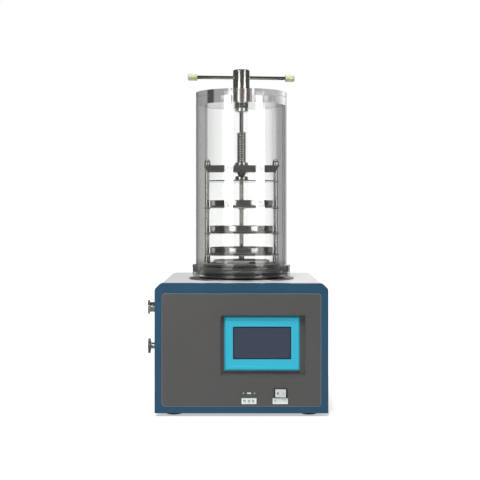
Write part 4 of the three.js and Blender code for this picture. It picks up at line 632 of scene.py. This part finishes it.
# ---- Power switch ----
# A moulded rocker switch snapped into the panel: a black frame and a pale grey rocker, with a
# plain white plate below it that carries the usual on and off marks.
black_plastic = moulded("black_moulded_nylon", "#1c1d1e", 0.35, 0.5, 0.7)
grey_plastic = moulded("pale_grey_moulded_nylon", "#d3d3d2", 0.35, 0.48, 0.6)
switch_low, switch_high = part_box("switch_housing")
SWITCH_X, SWITCH_Z = (switch_low.x + switch_high.x) / 2, (switch_low.z + switch_high.z) / 2
RIM_WIDTH, RIM_HEIGHT, RIM_SIDE = 36, 25, 3.4
MOUTH_HEIGHT = 22.2
LEDGE, CAVITY_HEIGHT, CAVITY_DEPTH = 1.4, 18.2, 11  # where the mouth steps in at the panel
SHELL_INSET, SHELL_WIDTH = 2.9, 28.9  # behind the panel
rim_back = panel_low.y - 0.02 * MM
frame_rim = box_piece(
    "switch_frame", (SWITCH_X - RIM_WIDTH / 2 * MM, switch_low.y, SWITCH_Z - RIM_HEIGHT / 2 * MM),
    (SWITCH_X + RIM_WIDTH / 2 * MM, rim_back, SWITCH_Z + RIM_HEIGHT / 2 * MM))
choose(frame_rim, (0, -1, 0))
bpy.ops.mesh.inset(thickness=RIM_SIDE * MM, depth=0)
stretch((1, 1, MOUTH_HEIGHT / (RIM_HEIGHT - 2 * RIM_SIDE)), (0, 0, SWITCH_Z))
push(0, rim_back - switch_low.y, 0)
bpy.ops.mesh.inset(thickness=LEDGE * MM, depth=0)
stretch((1, 1, CAVITY_HEIGHT / (MOUTH_HEIGHT - 2 * LEDGE)), (0, 0, SWITCH_Z))
push(0, CAVITY_DEPTH * MM, 0)
choose(frame_rim, (0, 1, 0))
bpy.ops.mesh.inset(thickness=SHELL_INSET * MM, depth=0)
stretch((SHELL_WIDTH / (RIM_WIDTH - 2 * SHELL_INSET), 1, 1), (SWITCH_X, 0, 0))
push(0, switch_high.y - rim_back, 0)
bpy.ops.object.mode_set(mode="OBJECT")
fit(soften(frame_rim, 0.4), "cabinet_and_frame", "black_plastic", black_plastic, "switch_housing")


def block(name, outline, bottom, top):
    """A block with an outline seen from above, all in mm."""
    piece = trace(name, [(x * MM, y * MM, bottom * MM) for x, y in outline])
    bpy.ops.mesh.edge_face_add()
    push(0, 0, (top - bottom) * MM)
    close_up()
    return piece


# The rocker's face is two flats that meet in a shallow V over its upright pin. A thin cap covers
# the mouth, and a narrower skirt under it goes through the panel.
TILT = 8  # degrees
ROCKER, CAP_THICK, CAP_HALF = 14.1, 1.8, 10.7  # half width, thickness and half height
SKIRT_TOP = CAP_THICK - 0.3  # a little inside the cap
SKIRT_IN, SKIRT_FOOT_IN, SKIRT_FOOT, SKIRT_HALF = 1.5, 3.5, 9, 8.85
lean = ROCKER * math.tan(math.radians(TILT))
pin = Matrix.Translation((SWITCH_X, switch_low.y, SWITCH_Z)) @ Matrix.Rotation(-math.radians(TILT), 4, "Z")
cap = block("rocker_cap", [
    (-ROCKER, -lean), (0, 0), (ROCKER, -lean), (ROCKER, CAP_THICK - lean), (0, CAP_THICK),
    (-ROCKER, CAP_THICK - lean)], -CAP_HALF, CAP_HALF)
skirt = block("rocker_skirt", [
    (SKIRT_IN - ROCKER, SKIRT_TOP - lean), (0, SKIRT_TOP), (ROCKER - SKIRT_IN, SKIRT_TOP - lean),
    (ROCKER - SKIRT_FOOT_IN, SKIRT_FOOT), (SKIRT_FOOT_IN - ROCKER, SKIRT_FOOT)], -SKIRT_HALF, SKIRT_HALF)
move(cap, pin)
move(skirt, pin)
fit(soften(cap, 0.4), "rocker", "grey_plastic", grey_plastic, "switch_rocker")
fit(soften(skirt, 0.3), "rocker", "grey_plastic", grey_plastic)

# The rocker's own marks: a ring for off, and the same ring squeezed to a bar for on.
SIGN_OUT = 7.2
for side, name, squeeze in ((-1, "off", 1), (1, "on", 0.2)):
    sign = turn("rocker_mark_" + name, [
        (0.9, -0.1), (0.9, INK_THICK), (2.7, INK_THICK), (2.7, -0.1), (0.9, -0.1)], steps=32)
    move(sign, pin @ Matrix.Rotation(-side * math.radians(TILT), 4, "Z")
         @ Matrix.Translation((side * SIGN_OUT * MM, 0, 0)) @ Matrix.Rotation(math.pi / 2, 4, "X")
         @ Matrix.Diagonal((squeeze, 1, 1, 1)))
    fit(sign, "rocker", "grey_plastic", ink)

label_plate("switch_label_plate", SWITCH_X / MM - 1, 40)
POWER_X = SWITCH_X / MM - 14.5
ring = turn("power_ring", [(1.9, 0), (1.9, INK_THICK), (2.7, INK_THICK), (2.7, 0), (1.9, 0)], steps=32)
stand_out(ring, POWER_X * MM, PLATE_FACE, (LABEL_Z - 0.6) * MM)
fit(soften(ring, 0.02), "cabinet_and_frame", "panel_grey", ink)
ink_bar("power_bar", POWER_X, LABEL_Z + 2, 0.9, 3.2)
ink_bar("switch_rule", SWITCH_X / MM + 3, LABEL_Z, 28, 0.5)


# ---- Left side: vacuum port and drain valve ----
# A turned and nickel-plated tube with a clamp flange leads to the pump. Below it a small plated
# valve with a grey lobed knob lets the melted ice out.
def lay_left(piece, y, z):
    """Turns an upright piece so that it points out of the left side, from the side's plane."""
    move(piece, Matrix.Translation((front_low.x, y, z)) @ Matrix.Rotation(-math.pi / 2, 4, "Y"))


port_low, port_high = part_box("vacuum_port")
PORT_OUT = (front_low.x - port_low.x) / MM
PORT_IN = (front_low.x - port_high.x) / MM
port = turn("vacuum_port_flange", [
    (12.5, PORT_IN), (14, PORT_IN), (14, PORT_OUT - 5.4), (14.6, PORT_OUT - 4.8), (19.4, PORT_OUT - 4.6),
    (20, PORT_OUT - 4), (20, PORT_OUT), (17, PORT_OUT), (17, PORT_OUT - 1.2), (13.6, PORT_OUT - 1.2),
    (13.6, PORT_OUT), (12.5, PORT_OUT), (12.5, PORT_IN)])
soften(port, 0.3)
lay_left(port, (port_low.y + port_high.y) / 2, (port_low.z + port_high.z) / 2)
fit(port, "cabinet_and_frame", "polished_steel", plated_steel, "vacuum_port")

knob_low, knob_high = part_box("valve_knob")
VALVE_Y, VALVE_Z = (knob_low.y + knob_high.y) / 2, (knob_low.z + knob_high.z) / 2
dress("valve_body", plated_steel, 0.4)
LOBES, KNOB_THICK = 5, 7
KNOB_CORE, LOBE_OUT, LOBE = 12, 15, 7  # a round core, and how far out each lobe is and its radius
knob = start(bpy.ops.mesh.primitive_circle_add, "valve_knob_lobed", vertices=150, radius=1,
             fill_type="NGON")
for corner in knob.data.vertices:
    around = math.atan2(corner.co.y, corner.co.x)
    past = math.remainder(around + math.pi / 2, 2 * math.pi / LOBES)
    chord = LOBE**2 - (LOBE_OUT * math.sin(past)) ** 2
    radius = max(KNOB_CORE, LOBE_OUT * math.cos(past) + math.sqrt(chord)) if chord > 0 else KNOB_CORE
    corner.co = (radius * MM * math.cos(around), radius * MM * math.sin(around), 0)
bpy.ops.object.mode_set(mode="EDIT")
bpy.ops.mesh.select_all(action="SELECT")
push(0, 0, KNOB_THICK * MM)
close_up()
soften(knob, 1.2, 3, 50)
lay_left(knob, VALVE_Y, VALVE_Z)
move(knob, Matrix.Translation((knob_low.x - front_low.x + KNOB_THICK * MM, 0, 0)))
knob_plastic = moulded("grey_moulded_nylon", "#626762", 0.2, 0.3, 0.8)
fit(knob, "drain_knob", "black_plastic", knob_plastic, "valve_knob")


# ---- Cold trap and refrigeration ----
# A deep-drawn stainless pot hangs by its flange through the deck, wound inside with a copper
# coil and wrapped in foam. The compressor, condenser and pipes stand in the base tray.
# Satin turning leaves fine rings that blur and darken what the steel mirrors.
steel_satin = metal("satin_turned_stainless_steel", "#8d8c88", 0.42, 0.54, 0.6, (10, 10, 0.8))
dress("cold_trap", steel_satin, 0.2)

# Copper drawn to tube, dulled a little. The foam has open cells of a few millimetres.
copper = metal("drawn_copper", "#c98f72", 0.25, 0.4, 0.8, (1, 1, 1))
for node in ("cooling_coil", "drain_pipe", "suction_pipe"):
    dress(node, copper, 0)
foam, tree = new_material("sprayed_polyurethane_foam")
where = add_node(tree, "ShaderNodeTexCoord")
cells = add_node(tree, "ShaderNodeTexVoronoi", {"Vector": (where, "Object"), "Scale": 1 / (3 * MM)})
tint = add_node(tree, "ShaderNodeMix", {0: (cells, 0), 6: linear("#c9b98a"), 7: linear("#d9cda6")},
                data_type="RGBA")
bump = add_node(tree, "ShaderNodeBump", {"Height": (cells, 0), "Strength": 0.5, "Distance": 1 * MM})
shader = add_node(tree, "ShaderNodeBsdfPrincipled", {
    "Base Color": (tint, 2), "Roughness": 0.85, "Normal": (bump, 0)})
add_node(tree, "ShaderNodeOutputMaterial", {"Surface": (shader, 0)})
dress("insulation", foam, 0)
# Black enamel shines, rolled aluminium is pale and streaked, and the board is a half-glossy green.
black_enamel = powder_paint("black_stove_enamel", "#17181a", "#1e1f21", 0.2, 0.3)
dress("compressor", black_enamel, 1.5)
aluminium = metal("rolled_aluminium", "#c9cacb", 0.25, 0.4, 0.8, (6, 1, 1))
dress("condenser", aluminium, 0.2)
dress("fan_frame", black_plastic, 0.5)
dress("fan_blades", black_plastic, 0.4)
dress("power_inlet", black_plastic, 0.5)
board_green = powder_paint("green_circuit_board", "#1f5a38", "#2a6b45", 0.3, 0.45)
dress("control_board", board_green, 0.3)


# ---- Chamber base: seal, drum and baffle ----
# An L-shaped rubber ring seals the jar on the trap's flange and lines its foot. Inside it a satin
# steel drum with a rubber band and a blasted cap carries the rods, and a slotted plate of anodised
# aluminium over the drum's mouth spreads the vapour.
def span(node):
    """The foot and the top of a node, in mm."""
    low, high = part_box(node)
    return low.z / MM, high.z / MM


SEAL_IN, SEAL_OUT = 111.3, 121.5
seal_foot, seal_top = span("seal_ring")
bulge = [(SEAL_OUT - 3.2 + 3.2 * math.cos(a), (seal_foot + seal_top) / 2 + 3.1 * math.sin(a))
         for a in (-1.3, -0.9, -0.45, 0, 0.45, 0.9, 1.3)]
LIP = span("chamber_flange")[0] + 9.8  # the lip's upper edge, inside the jar's foot
seal = turn("jar_seal", [
    (SEAL_IN, seal_foot), (SEAL_OUT - 4, seal_foot), *bulge, (SEAL_OUT - 4, seal_top),
    (SEAL_IN + 1.4, seal_top), (SEAL_IN + 1.4, LIP), (SEAL_IN + 0.7, LIP + 0.8), (SEAL_IN, LIP),
    (SEAL_IN, seal_foot)], AXIS, 128)
# The seal is greased, so that its black rubber shows soft lines of light.
greased = moulded("greased_black_rubber", "#161819", 0.22, 0.32, 0.8)
fit(soften(seal, 0), "cabinet_and_frame", "black_rubber", greased, "seal_ring")

drum_foot, drum_top = span("base_drum")
DRUM = 111
drum = turn("drying_base_drum", [
    (DRUM - 5, drum_foot - drum_top), (DRUM, drum_foot - drum_top), (DRUM, -18), (DRUM - 3, -15),
    (DRUM - 3, -5), (DRUM, -5), (DRUM, -4), (DRUM - 0.8, -3.2), (DRUM - 5, -3.2),
    (DRUM - 5, drum_foot - drum_top)], AXIS, 128, drum_top)
band = [(DRUM - 3 + 3 * math.cos(a), -8.5 + 3.3 * math.sin(a)) for a in (-1.5, -1, -0.5, 0, 0.5, 1, 1.5)]
ring = turn("drum_rubber_band", [
    (DRUM - 2.9, -11.8), *band, (DRUM - 2.9, -5.2), (DRUM - 2.9, -11.8)], AXIS, 128, drum_top)
fit(soften(ring, 0), "cabinet_and_frame", "black_rubber", greased)
fit(soften(drum, 0.3), "cabinet_and_frame", "polished_steel", steel_satin, "base_drum")
cover = turn("drying_base_top", [
    (60, -2.5), (DRUM - 5, -2.5), (DRUM - 1.2, -3), (DRUM - 0.3, -2.2), (DRUM - 0.3, -1.2), (DRUM - 1.4, 0),
    (61, 0), (60, -1), (60, -2.5)], AXIS, 128, drum_top)
fit(soften(cover, 0.2), "cabinet_and_frame", "polished_steel", steel_blasted)
# Clear anodising leaves the plate matt; its near-white colour is painted light, raised against the shade
# that the shelves above cast on it.
anodised = powder_paint("clear_anodised_aluminium", "#ecedea", "#f2f3f0", 0.42, 0.55)
dress("baffle_disc", anodised, 0.6)


# ---- Bell jar ----
# Clear cast acrylic: a thick-walled tube bonded into a turned foot ring and closed by a thick
# lid, bored for the gland. All its faces are polished, so it shows as one clear piece. Acrylic is
# clear and colourless; the grey tint where it is seen nearly edge on is painted shade.
acrylic, tree = new_material("polished_cast_acrylic")
# painted shade: the jar's colour turns grey where it is seen nearly edge on
painted_edge_shade = add_node(tree, "ShaderNodeLayerWeight", {"Blend": 0.5})
painted_edge_shade = add_node(tree, "ShaderNodeMapRange", {
    "Value": (painted_edge_shade, "Facing"), "From Min": 0.7, "From Max": 0.84})
tint = add_node(tree, "ShaderNodeMix", {0: (painted_edge_shade, 0), 6: linear("#fbfcfb"), 7: linear("#6a6e6c")},
                data_type="RGBA")
shader = add_node(tree, "ShaderNodeBsdfPrincipled", {
    "Base Color": (tint, 2), "Roughness": 0.0, "IOR": 1.49, "Transmission Weight": 1})
add_node(tree, "ShaderNodeOutputMaterial", {"Surface": (shader, 0)})
ring_foot, ring_top = span("chamber_flange")
lid_foot, lid_top = span("chamber_lid")
JAR, BORE, RING_OUT, RING_IN = 130, 120, 140, 113
bond = (lid_foot + lid_top) / 2  # a fine line where the lid's two plates are bonded
jar = turn("bell_jar", [
    (RING_IN, ring_foot), (RING_OUT, ring_foot), (RING_OUT, ring_top), (JAR, ring_top), (JAR, bond - 0.3),
    (JAR - 0.35, bond), (JAR, bond + 0.3), (JAR, lid_top), (20.4, lid_top), (20.4, lid_foot),
    (BORE, lid_foot), (BORE, ring_foot + 10), (RING_IN, ring_foot + 10), (RING_IN, ring_foot)], AXIS, 180)
fit(soften(jar, 0.8, sharp=60), "cabinet_and_frame", "clear_acrylic", acrylic,
    "chamber_flange", "chamber_tube", "chamber_lid")
jar.visible_shadow = False


# ---- Rods, shelves and trays ----
# Three turned rods stand on the drum and carry the yoke. Shelves of stainless sheet slide on
# them, and on each lies a pressed round tray with a rolled rim.
rod_foot = drum_top + 0.3
ROD_FOOT_HEIGHT = 21.7
shoulder = span("yoke_beam")[0] + 10
rod_end = span("tie_rod_left")[1]
# Turned steel mirrors the room with soft streaks round the piece. Polished steel mirrors it cleanly.
steel_turned = metal("turned_stainless_steel", "#b2b0ab", 0.1, 0.18, 0.5, (8, 8, 0.6))
steel_polished = metal("polished_stainless_steel", "#b8b6b1", 0.05, 0.1, 0.6, (6, 6, 1))
for place in ("left", "right", "rear"):
    rod = turn("tie_rod_piece_" + place, [
        (0, rod_foot - 6.2), (4.5, rod_foot - 6.2), (4.5, rod_foot), (8.5, rod_foot),
        (8.5, rod_foot + ROD_FOOT_HEIGHT - 1.2), (7.3, rod_foot + ROD_FOOT_HEIGHT),
        (6, rod_foot + ROD_FOOT_HEIGHT), (6, shoulder - 0.3), (4.5, shoulder - 0.3), (4.5, rod_end),
        (0, rod_end)], middle("tie_rod_" + place), 32)
    fit(soften(rod, 0.25), "cabinet_and_frame", "polished_steel", steel_turned, "tie_rod_" + place)
    nut_foot = span("cap_nut_" + place)[0]
    dome = [(8.9 * math.cos(a), 7.5 + 11.5 * math.sin(a)) for a in (0.25, 0.5, 0.8, 1.1, 1.35)]
    nut = turn("cap_nut_piece_" + place, [
        (4.8, 0), (10.4, 0), (10.4, 1.4), (9.6, 1.6), (9.6, 7), *dome, (0, 19), (0, 10), (4.8, 10),
        (4.8, 0)], middle("cap_nut_" + place), 32, nut_foot)
    fit(soften(nut, 0.3), "cabinet_and_frame", "polished_steel", steel_polished, "cap_nut_" + place)

TRAY, TRAY_HEIGHT = 91, 19
for level, body in (("bottom", "cabinet_and_frame"), ("middle", "centre_shelf"), ("top", "upper_shelf")):
    dress("shelf_" + level, steel_blasted, 0.4)
    tray_foot = span("tray_" + level)[0]
    tray = turn("product_tray_" + level, [
        (0, 0), (TRAY - 5, 0), (TRAY - 2.6, 0.7), (TRAY - 1.4, 2.6), (TRAY - 1, 5), (TRAY - 1, 17),
        (TRAY, 17.2), (TRAY, 18.4), (TRAY - 0.6, TRAY_HEIGHT), (TRAY - 1.4, TRAY_HEIGHT), (TRAY - 2, 18.4),
        (TRAY - 2, 5), (TRAY - 2.6, 2.8), (TRAY - 5, 1), (0, 1)], AXIS, 128, tray_foot)
    fit(soften(tray, 0), body, "polished_steel", steel_turned, "tray_" + level)


# ---- Yoke, lead screw and pressing plate ----
# A thick steel yoke bolts on the rods and holds a flanged nut. The threaded lead screw runs
# down through it and presses the plate onto the stoppers through a turned foot.
# Milling leaves long straight marks along the yoke.
milled_steel = metal("milled_stainless_steel", "#acaba8", 0.14, 0.22, 0.7, (10, 1, 1))
dress("yoke_beam", milled_steel, 0.6)
dress("press_plate", steel_turned, 0.4)

nut_foot, nut_top = span("screw_nut")
BEAM_TOP = span("yoke_beam")[1]
SCREW_BORE = 13.3
nut = turn("lead_screw_nut", [
    (SCREW_BORE + 0.4, nut_foot), (16, nut_foot), (17, nut_foot + 1), (17, BEAM_TOP + 0.2),
    (18.4, BEAM_TOP + 0.2), (18.9, BEAM_TOP + 0.8), (18.9, nut_top + 0.2), (18.3, nut_top + 0.8),
    (SCREW_BORE + 0.4, nut_top + 0.8), (SCREW_BORE + 0.4, nut_foot)], AXIS, 64)
fit(soften(nut, 0.2), "cabinet_and_frame", "polished_steel", steel_turned, "screw_nut")

# The screw is cut with a right-hand trapezoidal thread, one ridge wound on a core.
screw_foot, screw_top = span("press_screw")
CONE_TOP = screw_foot + 19.4
CORE, CREST, PITCH = 10.9, 13.6, 6.5
SHAFT_BORE = 6.8
core = turn("threaded_lead_screw", [
    (0, screw_foot), (5.5, screw_foot), (6.5, screw_foot + 1), (6.5, screw_foot + 2),
    (CORE + 0.6, CONE_TOP - 4), (CREST - 0.4, CONE_TOP), (CREST - 0.4, CONE_TOP + 2), (CORE, CONE_TOP + 4),
    (CORE, screw_top - 1.5), (CORE - 1.5, screw_top), (SHAFT_BORE, screw_top), (SHAFT_BORE, CONE_TOP),
    (0, CONE_TOP), (0, screw_foot)], AXIS, 64)
soften(core, 0)
ridge = start(bpy.ops.mesh.primitive_plane_add, "screw_thread_ridge", size=5 * MM,
              rotation=(math.pi / 2, 0, 0))
for corner in ridge.data.vertices:
    outer = corner.co.x > 0
    corner.co = ((CREST if outer else CORE - 1) * MM, 0, corner.co.z * (0.5 if outer else 1))
winding = ridge.modifiers.new("winding", "SCREW")
winding.steps = winding.render_steps = 40
winding.iterations = int((screw_top - 2 - CONE_TOP) / PITCH)
winding.screw_offset = PITCH * MM
bpy.ops.object.modifier_apply(modifier="winding")
bpy.ops.object.mode_set(mode="EDIT")
bpy.ops.mesh.select_mode(type="VERT")
bpy.ops.mesh.select_all(action="SELECT")
bpy.ops.mesh.remove_doubles(threshold=1e-6)
close_up()
move(ridge, Matrix.Translation((*AXIS, (CONE_TOP + 3) * MM)))
fit(soften(ridge, 0, sharp=35), "lead_screw", "polished_steel", steel_turned)
fit(core, "lead_screw", "polished_steel", steel_satin, "press_screw")

thrust_foot, thrust_top = span("thrust_foot")
foot = turn("thrust_foot_piece", [
    (0, thrust_foot), (10, thrust_foot), (10, thrust_foot + 2.4), (17, thrust_foot + 2.4),
    (18.7, thrust_foot + 4), (18.7, thrust_top - 1.8), (17.2, thrust_top - 0.4), (16, thrust_top),
    (7.2, thrust_top), (6.8, thrust_top - 0.6), (6.8, thrust_top - 8), (0, thrust_top - 8),
    (0, thrust_foot)], AXIS, 64)
fit(soften(foot, 0.3), "pressing_plate", "polished_steel", steel_turned, "thrust_foot")


# ---- Gland, drive shaft and handle ----
# A turned gland clamps through the lid on a rubber washer, with a nut below. The shaft turns
# in it, driven by a heavy hub with a cross bar and dip-moulded vinyl end caps.
gland_foot, gland_top = span("gland_body")
washer_foot, washer_top = span("gland_washer")
hub_foot, hub_top = span("handle_hub")
# Grinding leaves the gland soft and a little warm, and the drawn nut is the palest steel.
steel_ground = metal("ground_stainless_steel", "#cfc8c2", 0.3, 0.4, 0.5, (10, 10, 0.6))
steel_bright = metal("bright_drawn_stainless_steel", "#efeeea", 0.24, 0.34, 0.6, (8, 8, 1))
gland = turn("gland_sleeve", [
    (7.4, gland_foot), (15, gland_foot), (15, washer_top + 0.3), (20, washer_top + 0.3),
    (20, lid_top + 0.3), (23, lid_top + 0.3), (23, gland_top - 0.5), (22.4, gland_top), (7.4, gland_top),
    (7.4, gland_foot)], AXIS, 96)
fit(soften(gland, 0.3), "cabinet_and_frame", "polished_steel", steel_ground, "gland_body")
nut_foot, nut_top = span("gland_nut")
nut = turn("gland_ring_nut", [
    (15.2, nut_foot), (17.3, nut_foot), (18.5, nut_foot + 1.2), (18.5, nut_top - 0.8), (17.7, nut_top),
    (15.2, nut_top), (15.2, nut_foot)], AXIS, 96)
fit(soften(nut, 0.2), "cabinet_and_frame", "polished_steel", steel_bright, "gland_nut")
washer = turn("gland_rubber_washer", [
    (15.2, washer_foot), (18.9, washer_foot), (19.5, washer_foot + 0.8), (19.5, washer_top - 0.8),
    (18.9, washer_top), (15.2, washer_top), (15.2, washer_foot)], AXIS, 96)
grey_rubber = moulded("grey_silicone_rubber", "#6a6c6b", 0.4, 0.55, 0.6, 0.02, 0.2)
fit(soften(washer, 0.3), "cabinet_and_frame", "black_rubber", grey_rubber, "gland_washer")

HUB = 24
BAR_Z = sum(span("handle_bar")) / 2
hub = turn("handle_hub_piece", [
    (7.3, hub_foot), (HUB - 1, hub_foot), (HUB, hub_foot + 1), (HUB, hub_top - 2), (HUB - 2, hub_top),
    (0, hub_top), (0, hub_top - 37), (7.3, hub_top - 37), (7.3, hub_foot)], AXIS, 96)
fit(soften(hub, 0.4), "handle", "polished_steel", steel_turned, "handle_hub")
dress("drive_shaft", steel_turned, 0.2)

BAR, BAR_HALF, CAP, CAP_LENGTH = 5, 150.2, 10, 26
across = Matrix.Translation((*AXIS, BAR_Z * MM)) @ Matrix.Rotation(math.radians(6), 4, "Z")
bar = turn("cross_bar", [
    (0, -BAR_HALF), (BAR - 0.5, -BAR_HALF), (BAR, 0.5 - BAR_HALF), (BAR, BAR_HALF - 0.5),
    (BAR - 0.5, BAR_HALF), (0, BAR_HALF)], steps=48)
move(bar, across @ Matrix.Rotation(math.pi / 2, 4, "Y"))
fit(soften(bar, 0), "handle", "polished_steel", steel_polished, "handle_bar")

# The vinyl is clear enough to look paler where it is thin, past the end of the bar; that paler tint
# is painted light, and so is the paler rim where the cap is seen edge on, a painted sheen.
vinyl, tree = new_material("dip_moulded_vinyl")
where = add_node(tree, "ShaderNodeTexCoord")
centred = add_node(tree, "ShaderNodeMapping", {
    "Vector": (where, "Object"), "Location": (-AXIS[0], -AXIS[1], -BAR_Z * MM)})
reach = add_node(tree, "ShaderNodeVectorMath", {0: (centred, 0)}, operation="LENGTH")
# painted light: past the bar's end the tint turns paler, for light through the thin vinyl
past = add_node(tree, "ShaderNodeMapRange", {
    "Value": (reach, "Value"), "From Min": 143 * MM, "From Max": 149 * MM})
tint = add_node(tree, "ShaderNodeMix", {0: (past, 0), 6: linear("#dce4ae"), 7: linear("#cfd3bc")},
                data_type="RGBA")
# painted sheen: the cap turns paler where it is seen edge on
rim = add_node(tree, "ShaderNodeLayerWeight", {"Blend": 0.3})
tint = add_node(tree, "ShaderNodeMix", {0: (rim, "Facing"), 6: (tint, 2), 7: linear("#eceeda")},
                data_type="RGBA")
grain = add_node(tree, "ShaderNodeTexNoise", {
    "Vector": (where, "Object"), "Scale": 1 / (2 * MM), "Detail": 2})
gloss = add_node(tree, "ShaderNodeMapRange", {"Value": (grain, 0), "To Min": 0.3, "To Max": 0.42})
shader = add_node(tree, "ShaderNodeBsdfPrincipled", {
    "Base Color": (tint, 2), "Roughness": (gloss, 0), "IOR": 1.53, "Subsurface Weight": 0.3,
    "Subsurface Scale": 3 * MM})
add_node(tree, "ShaderNodeOutputMaterial", {"Surface": (shader, 0)})
for side, name in ((-1, "left"), (1, "right")):
    inner, outer = BAR_HALF + 3.3 - CAP_LENGTH, BAR_HALF + 3.3
    cap = turn("vinyl_cap_" + name, [
        (BAR + 0.1, inner), (CAP - 1, inner), (CAP, inner + 1), (CAP, outer - 2.6),
        (CAP - 0.8, outer - 0.8), (CAP - 2.6, outer), (0, outer), (0, outer - 3), (BAR + 0.1, outer - 3),
        (BAR + 0.1, inner)], steps=48)
    move(cap, across @ Matrix.Rotation(side * math.pi / 2, 4, "Y"))
    fit(soften(cap, 0.3), "handle", "pale_cap", vinyl, "handle_cap_" + name)
